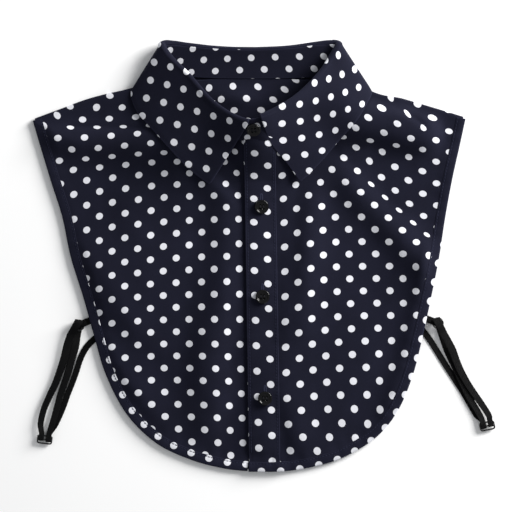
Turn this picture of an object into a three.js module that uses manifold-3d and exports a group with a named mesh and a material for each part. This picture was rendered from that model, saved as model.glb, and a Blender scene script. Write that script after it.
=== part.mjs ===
// A detachable shirt collar (a dickey) lying flat on a table, as a scene graph of named solids.
// The front of a button-through shirt is cut off under the arms: two front panels and a back panel
// joined at the shoulders, a stand and a turned-down leaf round the neck, a bound edge, four
// buttons, and at each side an adjustable elastic strap from the front to the back.
// Units are millimetres. +X is the photo's right, +Y runs towards the neck, +Z is up off the table.
// "right" and "left" in the names are the wearer's, so "right" is on the -X side.
import * as THREE from "three";
import { mergeVertices } from "three/addons/utils/BufferGeometryUtils.js";
import Module from "manifold-3d";

const wasm = await Module();
wasm.setup();

// Driving dimensions
const CLOTH = 1.0; // one layer of cloth
const STAND_CLOTH = 1.2; // stiffened cloth of the stand
const DOUBLE_CLOTH = 1.4; // folded or bound cloth
const GAP = 0.35; // between pieces that touch
const BINDING_WIDTH = 8;
const PLACKET_WIDTH = 24.6;
const PLACKET_RISE = 1.9; // the placket's middle over the middle of the cloth under it
const UNDER_LAP = 6; // the right panel runs this far past the placket's middle line
const BACK_INSET = 5; // the back lies this far inside the front's outline
const NECK_SEAM_GAP = 1.2; // between a panel's neck edge and the stand's lower edge
const SEAM_RISE = 0.85; // the stand's lower edge over the middle of the front cloth
const BACK_HEIGHT = 0.5; // middle of the back cloth where it lies on the table
const RIM_HEIGHT = 2.7; // middle of the front cloth at its outline
const PUFF = 3.0; // how much higher the front lies well inside its outline
const PUFF_REACH = 34; // over this distance in from the outline
const BUTTON_DIAMETER = 11.6;
const BUTTON_THICKNESS = 2.4;
const BUTTON_DISH = 0.8; // depth of the hollow inside the button's rim
const BUTTON_RIM = 1.3;
const BUTTON_HOLE_DIAMETER = 1.5;
const BUTTON_HOLE_PITCH = 2.7;
const STRAP_WIDTH = 8;
const STRAP_THICKNESS = 0.8;
const WIRE = 1.3; // diameter of the rings' wire and the sliders' bars
const RING_OUTER_DIAMETER = 9.6;
const RING_HEIGHT = 2.6; // middle of the ring's wire over the table
const SLIDER_LENGTH = 12.8;
const SLIDER_WIDTH = 7.7;
const SLIDER_HEIGHT = 2.3;

// The outline of the front, from each shoulder point down the armhole and round the hem.
// The right one goes on under the placket in its last row, and the left one across its foot.
const RIGHT_OUTLINE = [
  { x: -189, y: 109.5 },
  { x: -183, y: 89 },
  { x: -174.5, y: 61 },
  { x: -165, y: 31 },
  { x: -158, y: -2 },
  { x: -148, y: -34 },
  { x: -139, y: -66 },
  { x: -129, y: -99 },
  { x: -112, y: -131 },
  { x: -88, y: -154.5 },
  { x: -60, y: -168 },
  { x: -34, y: -175 },
  { x: -13.2, y: -177.5 },
  { x: 7, y: -178 },
];
const LEFT_OUTLINE = [
  { x: 165.5, y: 111 },
  { x: 160.5, y: 88 },
  { x: 154.5, y: 61 },
  { x: 149, y: 31 },
  { x: 144, y: -1 },
  { x: 137.5, y: -34 },
  { x: 130.5, y: -66 },
  { x: 122.5, y: -98 },
  { x: 110, y: -128 },
  { x: 92, y: -150 },
  { x: 65, y: -166.5 },
  { x: 38, y: -174.5 },
  { x: 13.7, y: -177.8 },
  { x: -12.2, y: -177.9 },
];
const SIDE_ROWS = 8; // rows of an outline before it turns into the hem

// The fold along each shoulder, from the neck to the shoulder point
const RIGHT_SHOULDER = [
  { x: -83.4, y: 143.4 },
  { x: -109, y: 134.5 },
  { x: -141, y: 127 },
  { x: -166, y: 118 },
  { x: -188.4, y: 109.7 },
];
const LEFT_SHOULDER = [
  { x: 65.9, y: 143.4 },
  { x: 93, y: 130.5 },
  { x: 115, y: 126 },
  { x: 141, y: 118.5 },
  { x: 164.9, y: 111.2 },
];

// The top of the back panel, from shoulder point to shoulder point along the neck seam
const BACK_TOP = [
  { x: -183, y: 104.5 },
  { x: -162, y: 113 },
  { x: -138, y: 121 },
  { x: -112, y: 128.5 },
  { x: -86, y: 138.5 },
  { x: -66, y: 142.2 },
  { x: -38, y: 142.4 },
  { x: -8, y: 142.4 },
  { x: 24, y: 142.4 },
  { x: 50, y: 142.2 },
  { x: 69, y: 137.5 },
  { x: 94, y: 125 },
  { x: 116, y: 119.5 },
  { x: 139, y: 112.5 },
  { x: 159.5, y: 106 },
];

// The collar in stations round the neck, from its front end at the wearer's right, round the back,
// to its front end at the wearer's left. The stand rises from the seam to the roll. The leaf turns
// over there and comes down to its edge. A seam or edge with no z lies on the front panels, and
// lift takes it higher. The first and last rows are the stand's two ends, which cross at the front.
const COLLAR = [
  { seamX: 4.5, seamY: 94.2, rollX: 3.5, rollY: 107.5, rollZ: 34.8, edgeX: -30, edgeY: 50 },
  { seamX: -18.5, seamY: 94.7, rollX: -12.5, rollY: 107.8, rollZ: 35, edgeX: -44.7, edgeY: 60.3 },
  { seamX: -34, seamY: 98, rollX: -27, rollY: 116.8, rollZ: 31, edgeX: -59, edgeY: 75.9 },
  { seamX: -51, seamY: 108.5, rollX: -42, rollY: 129.8, rollZ: 25.5, edgeX: -74, edgeY: 92.3 },
  { seamX: -66, seamY: 122, rollX: -57, rollY: 147.4, rollZ: 19, edgeX: -90, edgeY: 109.8 },
  { seamX: -77, seamY: 134.5, rollX: -70, rollY: 162.8, rollZ: 13, edgeX: -103, edgeY: 124, lift: 0.7 },
  { seamX: -82.5, seamY: 143.5, seamZ: 4.2, rollX: -80, rollY: 173.5, rollZ: 9.4, edgeX: -111, edgeY: 136.5, edgeZ: 4.6 },
  { seamX: -76, seamY: 147.5, seamZ: 2.9, rollX: -73, rollY: 174, rollZ: 7.4, edgeX: -101, edgeY: 139.5, edgeZ: 0.55 },
  { seamX: -62, seamY: 145, seamZ: 2.5, rollX: -60, rollY: 171.6, rollZ: 7, edgeX: -78, edgeY: 126, edgeZ: 0.5 },
  { seamX: -38, seamY: 143.2, seamZ: 2.4, rollX: -36, rollY: 168.6, rollZ: 7, edgeX: -43, edgeY: 121, edgeZ: 0.5 },
  { seamX: -8, seamY: 143, seamZ: 2.4, rollX: -8, rollY: 167.3, rollZ: 7, edgeX: -8, edgeY: 120, edgeZ: 0.5 },
  { seamX: 22, seamY: 143.2, seamZ: 2.4, rollX: 20, rollY: 168.6, rollZ: 7, edgeX: 27, edgeY: 121, edgeZ: 0.5 },
  { seamX: 45, seamY: 145, seamZ: 2.5, rollX: 43, rollY: 171.6, rollZ: 7, edgeX: 61, edgeY: 126, edgeZ: 0.5 },
  { seamX: 58, seamY: 147.5, seamZ: 2.9, rollX: 55.5, rollY: 174, rollZ: 7.4, edgeX: 84.5, edgeY: 137.5, edgeZ: 0.55 },
  { seamX: 65, seamY: 143.5, seamZ: 4.2, rollX: 63, rollY: 173.5, rollZ: 9.4, edgeX: 95, edgeY: 133, edgeZ: 4.6 },
  { seamX: 60.5, seamY: 134.5, rollX: 54, rollY: 161.5, rollZ: 13, edgeX: 87, edgeY: 121.5, lift: 0.5 },
  { seamX: 50.5, seamY: 122.5, rollX: 42.5, rollY: 145.5, rollZ: 19, edgeX: 75, edgeY: 108.5 },
  { seamX: 37, seamY: 110.5, rollX: 28.5, rollY: 130, rollZ: 25.5, edgeX: 60, edgeY: 92 },
  { seamX: 20, seamY: 100.5, rollX: 13, rollY: 118, rollZ: 31.5, edgeX: 45, edgeY: 75.5 },
  { seamX: 2.5, seamY: 93.6, rollX: -1.5, rollY: 106.6, rollZ: 36.5, edgeX: 29.9, edgeY: 60.3, lift: 1.6 },
  { seamX: -20, seamY: 93.2, rollX: -18.5, rollY: 106.2, rollZ: 36.5, edgeX: 15, edgeY: 50, lift: 1.6 },
];
const LAST = COLLAR.length - 1;
const RIGHT_NECK_POINT = 6; // the station at each end of the shoulder seams
const LEFT_NECK_POINT = 14;
const LEFT_PLACKET_SEAM = 18.59; // the station where the left panel meets the placket
const ROLL_RISE = 3.2; // how far the leaf goes on past the roll before it turns down
const ROLL_OUT_BACK = 3.4; // how wide the roll is at the back
const ROLL_OUT_FRONT = 6.5; // and at the front
const LEAF_OFF_PANEL = 1.9; // the least height of the leaf's middle over the front's middle

// The rise of the front towards the buttoned neck
const NECK_RISE = { x: -8, y: 104, height: 9.5, reachX: 62, reachY: 36 };

// The main folds of the front: ridges, and hollows where the height is under 0, each along a line
const FOLDS = [
  { x1: -165, y1: 105, x2: -95, y2: 104, width: 11, height: 2.6 }, // right shoulder
  { x1: -167, y1: 84, x2: -77, y2: 84, width: 10, height: -1.5 },
  { x1: 74, y1: 107, x2: 132, y2: 101, width: 10, height: 2.6 }, // left shoulder
  { x1: 67, y1: 91, x2: 132, y2: 86, width: 9, height: -1.4 },
  { x1: 78, y1: 66, x2: 136, y2: 6, width: 10, height: 3.6 }, // from the leaf to the left armhole
  { x1: -32, y1: 50, x2: -32, y2: -70, width: 9, height: 2.0 }, // beside the placket
  { x1: -55, y1: -25, x2: -55, y2: -120, width: 11, height: -1.3 },
  { x1: 44, y1: 52, x2: 48, y2: -50, width: 11, height: 2.6 },
  { x1: 24, y1: 45, x2: 24, y2: -80, width: 8, height: -1.0 },
  { x1: -148, y1: -12, x2: -96, y2: -52, width: 9, height: 1.8 }, // from the right strap
];

// The placket's middle line, and its buttons from 0 at its top to 1 at its foot
const PLACKET_TOP = { x: -3.2, y: 92.2 };
const PLACKET_FOOT = { x: 1, y: -169.1 };
const PLACKET_BUTTONS = [
  { name: "placket_button_upper", along: 0.203, across: 0.5 },
  { name: "placket_button_middle", along: 0.485, across: 0.4 },
  { name: "placket_button_lower", along: 0.803, across: 1.1 },
];
const STAND_BUTTON = { station: 19.42, up: 0.62 };

// The straps. Each runs from the slider's middle bar to the ring, through it and back to the
// slider, round the middle bar, and to the edge of the back panel. towards is the way the strap
// leaves the ring and the slider, as an angle in degrees turned left from +X.
const STRAPS = [
  {
    side: "right",
    ring: { x: -150.5, y: -57.8, towards: 229 },
    slider: { x: -179, y: -149.6, towards: 263 },
    tab: { x: -138.3, y: -53.4 },
    first: [
      { x: -180, y: -135, z: 3.5 },
      { x: -175.9, y: -119.3, z: 3.0 },
      { x: -167.3, y: -98.8, z: 2.4 },
      { x: -159.9, y: -77.5, z: 1.7 },
    ],
    second: [
      { x: -155, y: -77, z: 4.1 },
      { x: -158.5, y: -95, z: 4.2 },
      { x: -166, y: -114, z: 4.3 },
      { x: -174, y: -133, z: 4.6 },
    ],
    third: [
      { x: -171, y: -134.6, z: 0.9 },
      { x: -161.5, y: -114, z: 0.8 },
      { x: -154.8, y: -96.5, z: 0.7 },
      { x: -149, y: -83, z: 0.65 },
      { x: -142, y: -74.4, z: 0.6 },
      { x: -134.4, y: -69.6, z: 0.6 },
    ],
  },
  {
    side: "left",
    ring: { x: 142.7, y: -56.2, towards: 295 },
    slider: { x: 183.3, y: -140.5, towards: 284 },
    tab: { x: 129.2, y: -52.6 },
    first: [
      { x: 181.6, y: -126.5, z: 3.4 },
      { x: 170.3, y: -108.5, z: 2.9 },
      { x: 161.7, y: -94.4, z: 2.4 },
      { x: 153.9, y: -79.1, z: 1.8 },
    ],
    second: [
      { x: 154.4, y: -80.1, z: 4.1 },
      { x: 162.2, y: -95.4, z: 4.2 },
      { x: 170.8, y: -109.5, z: 4.3 },
      { x: 182.1, y: -127.5, z: 4.6 },
    ],
    third: [
      { x: 176, y: -127, z: 0.9 },
      { x: 166.4, y: -115, z: 0.8 },
      { x: 157.2, y: -102, z: 0.7 },
      { x: 148.5, y: -89, z: 0.65 },
      { x: 139.5, y: -76.6, z: 0.6 },
      { x: 127.7, y: -67.6, z: 0.6 },
    ],
  },
];

const clamp = (t, low = 0, high = 1) => Math.min(high, Math.max(low, t));
const smooth = (t) => clamp(t) ** 2 * (3 - 2 * clamp(t));
const mix = (a, b, t) => a + (b - a) * t;
const vec = (x, y, z = 0) => new THREE.Vector3(x, y, z);
const heading = (degrees) => vec(Math.cos((degrees * Math.PI) / 180), Math.sin((degrees * Math.PI) / 180));

// A smooth curve through the rows of a table, by the row's number
function through(rows) {
  const points = rows.map((row) => (row.isVector3 ? row : vec(row.x, row.y, row.z ?? 0)));
  const curve = new THREE.CatmullRomCurve3(points, false, "catmullrom", 0.5);
  return (row) => curve.getPoint(clamp(row / (points.length - 1)));
}

const rightOutline = through(RIGHT_OUTLINE);
const leftOutline = through(LEFT_OUTLINE);
const rightShoulder = through(RIGHT_SHOULDER);
const leftShoulder = through(LEFT_SHOULDER);
const backTop = through(BACK_TOP);

// A point of an outline moved into the cloth; inwards is 1 for the right outline, -1 for the left
function inset(outline, row, distance, inwards) {
  const ahead = outline(row + 0.05).sub(outline(row - 0.05)).normalize();
  return outline(row).add(vec(-ahead.y, ahead.x).multiplyScalar(inwards * distance));
}

// How far a place is from the front's outline and shoulders
const edgeSamples = [
  [rightOutline, RIGHT_OUTLINE],
  [leftOutline, LEFT_OUTLINE],
  [rightShoulder, RIGHT_SHOULDER],
  [leftShoulder, LEFT_SHOULDER],
].flatMap(([curve, rows]) => Array.from({ length: 121 }, (_, i) => curve((i / 120) * (rows.length - 1))));
function fromOutline(x, y) {
  return Math.min(...edgeSamples.map((p) => Math.hypot(p.x - x, p.y - y)));
}

// How much the panels are raised by the back of the leaf under them, from 0 to 1
function overLeaf(x, y) {
  return smooth((y - 102) / 12) * smooth((131 - Math.abs(x + 8)) / 13);
}
const backHeight = (x, y) => BACK_HEIGHT + (CLOTH + GAP) * overLeaf(x, y);

function foldHeight(fold, x, y) {
  const dx = fold.x2 - fold.x1;
  const dy = fold.y2 - fold.y1;
  const length = Math.hypot(dx, dy);
  const along = ((x - fold.x1) * dx + (y - fold.y1) * dy) / length;
  const across = ((x - fold.x1) * dy - (y - fold.y1) * dx) / length;
  const past = Math.max(0, -along, along - length);
  return fold.height * Math.exp(-((across / fold.width) ** 2) - (past / (2 * fold.width)) ** 2);
}

// Height of the middle of the front cloth over the table
function frontHeight(x, y) {
  const inside = smooth(fromOutline(x, y) / PUFF_REACH);
  const folds = FOLDS.reduce((sum, fold) => sum + foldHeight(fold, x, y), 0);
  const offX = (x - NECK_RISE.x) / NECK_RISE.reachX;
  const offY = (y - NECK_RISE.y) / NECK_RISE.reachY;
  const neck = NECK_RISE.height * Math.exp(-(offX ** 2) - offY ** 2) * smooth(fromOutline(x, y) / 20);
  return RIM_HEIGHT + 0.5 * overLeaf(x, y) + inside * (PUFF + folds) + neck;
}

// The collar's three lines round the neck, by station
const seamLine = through(
  COLLAR.map((s) => vec(s.seamX, s.seamY, s.seamZ ?? frontHeight(s.seamX, s.seamY) + SEAM_RISE + (s.lift ?? 0))),
);
const rollLine = through(COLLAR.map((s) => vec(s.rollX, s.rollY, s.rollZ)));
const edgeLine = through(
  COLLAR.map((s) => vec(s.edgeX, s.edgeY, s.edgeZ ?? frontHeight(s.edgeX, s.edgeY) + LEAF_OFF_PANEL + 0.3)),
);

// A geometry from points and triangles, turned round if its faces point in
function facingOut(positions, faces) {
  const p = (i) => vec(...positions.slice(3 * i, 3 * i + 3));
  let volume = 0;
  for (let i = 0; i < faces.length; i += 3) {
    volume += p(faces[i]).dot(p(faces[i + 1]).cross(p(faces[i + 2])));
  }
  if (volume < 0) faces.reverse();
  return new THREE.BufferGeometry()
    .setAttribute("position", new THREE.Float32BufferAttribute(positions, 3))
    .setIndex(faces);
}

// A closed wall on a grid of middle points: at(u, v) for u and v from 0 to 1
function wall({ columns, rows, thickness, at, upright = false }) {
  const middle = [];
  for (let j = 0; j <= rows; j++) {
    for (let i = 0; i <= columns; i++) middle.push(at(i / columns, j / rows));
  }
  const index = (i, j) => clamp(j, 0, rows) * (columns + 1) + clamp(i, 0, columns);
  const positions = [];
  for (const side of [1, -1]) {
    for (let j = 0; j <= rows; j++) {
      for (let i = 0; i <= columns; i++) {
        const alongU = middle[index(i + 1, j)].clone().sub(middle[index(i - 1, j)]);
        const alongV = middle[index(i, j + 1)].clone().sub(middle[index(i, j - 1)]);
        const out = upright ? vec(0, 0, 1) : alongU.cross(alongV).normalize();
        const p = middle[index(i, j)].clone().addScaledVector(out, (side * thickness) / 2);
        positions.push(p.x, p.y, p.z);
      }
    }
  }
  const count = middle.length;
  const faces = [];
  const quad = (a, b, c, d) => faces.push(a, b, c, a, c, d);
  for (let j = 0; j < rows; j++) {
    for (let i = 0; i < columns; i++) {
      const [a, b, c, d] = [index(i, j), index(i + 1, j), index(i + 1, j + 1), index(i, j + 1)];
      quad(a, b, c, d);
      quad(d + count, c + count, b + count, a + count);
    }
  }
  const rim = (a, b) => quad(b, a, a + count, b + count);
  for (let i = 0; i < columns; i++) {
    rim(index(i, 0), index(i + 1, 0));
    rim(index(i + 1, rows), index(i, rows));
  }
  for (let j = 0; j < rows; j++) {
    rim(index(columns, j), index(columns, j + 1));
    rim(index(0, j + 1), index(0, j));
  }
  return facingOut(positions, faces);
}

// A surface between four edges: top and bottom run with u, inner and outer with v
function between(top, bottom, outer) {
  const [topInner, topOuter, bottomInner, bottomOuter] = [top(0), top(1), bottom(0), bottom(1)];
  return (u, v) => {
    const p = top(u).multiplyScalar(1 - v).addScaledVector(bottom(u), v);
    p.addScaledVector(outer(v), u).addScaledVector(topOuter, -u * (1 - v));
    return p.addScaledVector(bottomOuter, -u * v);
  };
}

const shapes = {};

// Half of a front panel's top: the neck seam for u under a half, and the shoulder after it
function panelTop(firstStation, neckPoint, shoulder) {
  return (u) => {
    if (u >= 0.5) return shoulder((2 * u - 1) * (RIGHT_SHOULDER.length - 1));
    const seam = seamLine(mix(firstStation, neckPoint, 2 * u)).setZ(0);
    return seam.addScaledVector(seam.clone().sub(vec(-8, 150)).normalize(), NECK_SEAM_GAP);
  };
}
const ON_FRONT = { columns: 18, rows: 16, thickness: CLOTH, upright: true };
function frontPanel({ top, outline, inwards, hemEnd }) {
  const edge = BINDING_WIDTH + GAP;
  const surface = between(
    top,
    (u) => inset(outline, mix(hemEnd, SIDE_ROWS, u), edge, inwards),
    (v) => inset(outline, v * SIDE_ROWS, edge, inwards),
  );
  return (u, v) => {
    const p = surface(u ** 0.9, v);
    return p.setZ(frontHeight(p.x, p.y));
  };
}
// The outer edge starts on the shoulder, one binding's width in from the shoulder point
const onShoulder = (top) => (u) => top(u * 0.978);
shapes.front_right_panel = wall({
  ...ON_FRONT,
  at: frontPanel({
    top: onShoulder(panelTop(0, RIGHT_NECK_POINT, rightShoulder)),
    outline: rightOutline,
    inwards: 1,
    hemEnd: RIGHT_OUTLINE.length - 1,
  }),
});
shapes.front_left_panel = wall({
  ...ON_FRONT,
  at: frontPanel({
    top: onShoulder(panelTop(LEFT_PLACKET_SEAM, LEFT_NECK_POINT, leftShoulder)),
    outline: leftOutline,
    inwards: -1,
    hemEnd: LEFT_OUTLINE.length - 2,
  }),
});

// The button placket, a folded strip over the right panel's edge
function onPlacket(along, across) {
  const x = mix(PLACKET_TOP.x, PLACKET_FOOT.x, along) + across;
  const y = mix(PLACKET_TOP.y, PLACKET_FOOT.y, along);
  return vec(x, y, frontHeight(x, y) + PLACKET_RISE);
}
shapes.front_placket = wall({
  columns: 3,
  rows: 28,
  thickness: DOUBLE_CLOTH,
  upright: true,
  at: (u, v) => onPlacket(v, (u - 0.5) * PLACKET_WIDTH),
});

// The bound edges of the front, and of the back under it
const footRise = (x) => 1.3 * smooth((24 - x) / 10);
shapes.front_right_binding = wall({
  columns: 44,
  rows: 1,
  thickness: DOUBLE_CLOTH,
  upright: true,
  at: (u, v) => inset(rightOutline, u * (RIGHT_OUTLINE.length - 2), v * BINDING_WIDTH, 1).setZ(RIM_HEIGHT),
});
shapes.front_left_binding = wall({
  columns: 48,
  rows: 1,
  thickness: DOUBLE_CLOTH,
  upright: true,
  at: (u, v) => {
    const p = inset(leftOutline, u * (LEFT_OUTLINE.length - 1), v * BINDING_WIDTH, -1);
    return p.setZ(RIM_HEIGHT + footRise(p.x));
  },
});

// The back's sides and hem follow the front's outlines, first down the right and then up the left
const BACK_START = 0.28; // rows of the outline that the shoulder takes off
function backEdge(along, distance) {
  const rows = RIGHT_OUTLINE.length - 2;
  if (along < 0.5) return inset(rightOutline, mix(BACK_START, rows, 2 * along), distance, 1);
  return inset(leftOutline, mix(LEFT_OUTLINE.length - 1, BACK_START, 2 * along - 1), distance, -1);
}
shapes.back_binding = wall({
  columns: 72,
  rows: 1,
  thickness: DOUBLE_CLOTH,
  upright: true,
  at: (u, v) => backEdge(u, BACK_INSET + v * BINDING_WIDTH).setZ(DOUBLE_CLOTH / 2),
});
const backSide = BACK_INSET + BINDING_WIDTH + GAP;
const HEM_START = 0.33; // where the right side turns into the hem, on backEdge
shapes.back_panel = wall({
  columns: 18,
  rows: 12,
  thickness: CLOTH,
  upright: true,
  at: (u, v) => {
    const down = v ** 1.5; // closer rows near the neck
    const left = backEdge(down * HEM_START, backSide);
    const right = backEdge(1 - down * HEM_START, backSide);
    const top = backTop(mix(0.45, BACK_TOP.length - 1.45, u));
    const hem = backEdge(mix(HEM_START, 1 - HEM_START, u), backSide);
    const p = top.multiplyScalar(1 - down).addScaledVector(hem, down);
    p.addScaledVector(left, 1 - u).addScaledVector(right, u);
    p.addScaledVector(backTop(0.45), -(1 - u) * (1 - down));
    p.addScaledVector(backTop(BACK_TOP.length - 1.45), -u * (1 - down));
    p.addScaledVector(backEdge(HEM_START, backSide), -(1 - u) * down);
    p.addScaledVector(backEdge(1 - HEM_START, backSide), -u * down);
    return p.setZ(backHeight(p.x, p.y));
  },
});

// The stand's directions at a station: up towards the roll, and out away from the neck
function standFrame(station) {
  const up = rollLine(station).sub(seamLine(station)).normalize();
  const ahead = rollLine(station + 0.1).sub(rollLine(station - 0.1));
  return { up, out: up.clone().cross(ahead).normalize() };
}
const COLLAR_COLUMNS = 68;
shapes.collar_stand = wall({
  columns: COLLAR_COLUMNS,
  rows: 2,
  thickness: STAND_CLOTH,
  at: (u, v) => {
    const station = u * LAST;
    return seamLine(station).lerp(rollLine(station), v);
  },
});

// The leaf goes on up from the stand, turns over the roll, and comes down to its edge
function leafPoint(station, down) {
  const { up, out } = standFrame(station);
  const roll = rollLine(station);
  const edge = edgeLine(station);
  const atBack = smooth((7.5 - Math.abs(station - 10)) / 3.5);
  const wide = mix(ROLL_OUT_FRONT, ROLL_OUT_BACK, atBack);
  const off = (rise, across) => roll.clone().addScaledVector(up, rise * ROLL_RISE).addScaledVector(out, across * wide);
  const turned = off(-0.6, 1.0);
  const path = through([
    off(0.36, 0),
    off(0.85, 0.16),
    off(1, 0.5),
    off(0.5, 0.86),
    turned,
    turned.clone().lerp(edge, 0.4),
    edge,
  ]);
  const p = path(down * 6);
  const floor = CLOTH / 2;
  if (atBack > 0.99) return p.setZ(Math.max(floor, mix(p.z, floor, smooth((down - 0.6) / 0.12))));
  return p;
}
const LEAF_ROWS = [0, 0.1, 0.2, 0.32, 0.46, 0.62, 0.75, 0.88, 1]; // down the leaf, closer at the roll
shapes.collar_leaf = wall({
  columns: COLLAR_COLUMNS,
  rows: LEAF_ROWS.length - 1,
  thickness: CLOTH,
  at: (u, v) => leafPoint(mix(1, LAST - 1, u), LEAF_ROWS[Math.round(v * (LEAF_ROWS.length - 1))]),
});

// A solid from a geometry, and back again, so that pieces can be joined and cut
function solid(geometry) {
  const bare = geometry.clone();
  for (const key of Object.keys(bare.attributes)) if (key !== "position") bare.deleteAttribute(key);
  const merged = mergeVertices(bare, 1e-4);
  return new wasm.Manifold(
    new wasm.Mesh({
      numProp: 3,
      vertProperties: new Float32Array(merged.attributes.position.array),
      triVerts: new Uint32Array(merged.index.array),
    }),
  );
}
function geometryOf(manifold) {
  const mesh = manifold.getMesh();
  return new THREE.BufferGeometry()
    .setAttribute("position", new THREE.Float32BufferAttribute(mesh.vertProperties, 3))
    .setIndex(Array.from(mesh.triVerts));
}

// Places a geometry made round +Z at a point, with its +Z along out and its +X along across
function placed(geometry, point, out, across) {
  const z = out.clone().normalize();
  const y = z.clone().cross(across).normalize();
  const basis = new THREE.Matrix4().makeBasis(y.clone().cross(z), y, z).setPosition(point);
  return geometry.clone().applyMatrix4(basis);
}

// A sewn-on shirt button: a disc with a rim, a dish and four holes, its back at z = 0
function buttonGeometry() {
  const radius = BUTTON_DIAMETER / 2;
  const dish = BUTTON_THICKNESS - BUTTON_DISH;
  const profile = [
    { r: 0, z: 0 },
    { r: radius - 0.9, z: 0 },
    { r: radius, z: 0.8 },
    { r: radius, z: BUTTON_THICKNESS - 0.5 },
    { r: radius - 0.5, z: BUTTON_THICKNESS },
    { r: radius - BUTTON_RIM + 0.2, z: BUTTON_THICKNESS },
    { r: radius - BUTTON_RIM - 0.6, z: dish },
    { r: 0, z: dish },
  ];
  const lathe = new THREE.LatheGeometry(profile.map((p) => new THREE.Vector2(p.r, p.z)), 24);
  let button = solid(lathe.rotateX(Math.PI / 2));
  for (const x of [-1, 1]) {
    for (const y of [-1, 1]) {
      const hole = new THREE.CylinderGeometry(BUTTON_HOLE_DIAMETER / 2, BUTTON_HOLE_DIAMETER / 2, 9, 8);
      hole.rotateX(Math.PI / 2).translate((x * BUTTON_HOLE_PITCH) / 2, (y * BUTTON_HOLE_PITCH) / 2, 0);
      button = button.subtract(solid(hole));
    }
  }
  return geometryOf(button);
}
const BUTTON = buttonGeometry();

for (const { name, along, across } of PLACKET_BUTTONS) {
  const up = onPlacket(along - 0.02, across).sub(onPlacket(along + 0.02, across));
  const side = onPlacket(along, across + 5).sub(onPlacket(along, across - 5));
  const out = side.clone().cross(up).normalize();
  const seat = onPlacket(along, across).addScaledVector(out, DOUBLE_CLOTH / 2 + GAP);
  shapes[name] = placed(BUTTON, seat, out, side);
}
const standAt = (station, up) => seamLine(station).lerp(rollLine(station), up);
{
  const { station, up } = STAND_BUTTON;
  const side = standAt(station + 0.1, up).sub(standAt(station - 0.1, up)).negate();
  const out = side.clone().cross(standFrame(station).up).normalize();
  const seat = standAt(station, up).addScaledVector(out, STAND_CLOTH / 2 + GAP + 0.1);
  shapes.stand_button = placed(BUTTON, seat, out, side);
}

// A flat ribbon along a table of points. Each row may say its heading, which the ribbon's width
// lies square to, and its width. A row that says neither takes them from its neighbours.
function ribbon(rows, thickness, perRow) {
  const points = rows.map((row) => vec(row.x, row.y, row.z));
  const path = through(points);
  const headings = [];
  rows.forEach((row, i) => {
    const ahead = points[Math.min(points.length - 1, i + 1)].clone().sub(points[Math.max(0, i - 1)]);
    const chosen = row.heading ? row.heading.clone() : ahead.setZ(0).normalize();
    if (i > 0 && chosen.dot(headings[i - 1]) < 0) chosen.negate();
    headings.push(chosen);
  });
  const last = rows.length - 1;
  return wall({
    columns: last * perRow,
    rows: 1,
    thickness,
    at: (u, v) => {
      const i = Math.min(last - 1, Math.floor(u * last));
      const t = u * last - i;
      const toward = headings[i].clone().lerp(headings[i + 1], t).normalize();
      const width = mix(rows[i].width ?? STRAP_WIDTH, rows[i + 1].width ?? STRAP_WIDTH, t);
      return path(u * last).addScaledVector(vec(-toward.y, toward.x), (v - 0.5) * width);
    },
  });
}

// The slider: a frame of round bars with a bar across its middle, its length along X
function sliderGeometry() {
  const [length, width] = [SLIDER_LENGTH - WIRE, SLIDER_WIDTH - WIRE];
  const bar = (size, alongX) => {
    const shape = new THREE.CylinderGeometry(WIRE / 2, WIRE / 2, size, 10);
    return alongX ? shape.rotateZ(Math.PI / 2) : shape;
  };
  const parts = [
    bar(length, true).translate(0, width / 2, 0),
    bar(length, true),
    bar(length, true).translate(0, -width / 2, 0),
    bar(width, false).translate(-length / 2, 0, 0),
    bar(width, false).translate(length / 2, 0, 0),
  ];
  for (const x of [-1, 1]) {
    for (const y of [-1, 1]) {
      const corner = new THREE.SphereGeometry(WIRE / 2, 10, 8);
      parts.push(corner.translate((x * length) / 2, (y * width) / 2, 0));
    }
  }
  return geometryOf(wasm.Manifold.union(parts.map(solid)));
}
const RING = new THREE.TorusGeometry((RING_OUTER_DIAMETER - WIRE) / 2, WIRE / 2, 8, 24);
const SLIDER = sliderGeometry();
const OVER_WIRE = WIRE / 2 + GAP + STRAP_THICKNESS / 2; // from a wire's middle to a strap's middle

// Rows for a strap or tab that passes under a ring's wire, up through the ring and back over it
function throughRing(ring, toward, width) {
  const far = (RING_OUTER_DIAMETER - WIRE) / 2;
  const near = far - OVER_WIRE - 1.05; // clear of the wire where it curves in beside the strap
  const steps = [
    { off: far + 3.5, z: -OVER_WIRE },
    { off: far, z: -OVER_WIRE },
    { off: near + 0.75, z: -0.8 * OVER_WIRE },
    { off: near, z: 0 },
    { off: near + 0.75, z: 0.8 * OVER_WIRE },
    { off: far, z: OVER_WIRE },
    { off: far + 3.5, z: OVER_WIRE },
  ];
  return steps.map(({ off, z }) => ({
    x: ring.x + toward.x * off,
    y: ring.y + toward.y * off,
    z: RING_HEIGHT + z,
    width,
    heading: toward,
  }));
}
const IN_RING_WIDTH = 5; // the strap is gathered where it passes through the ring

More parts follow.
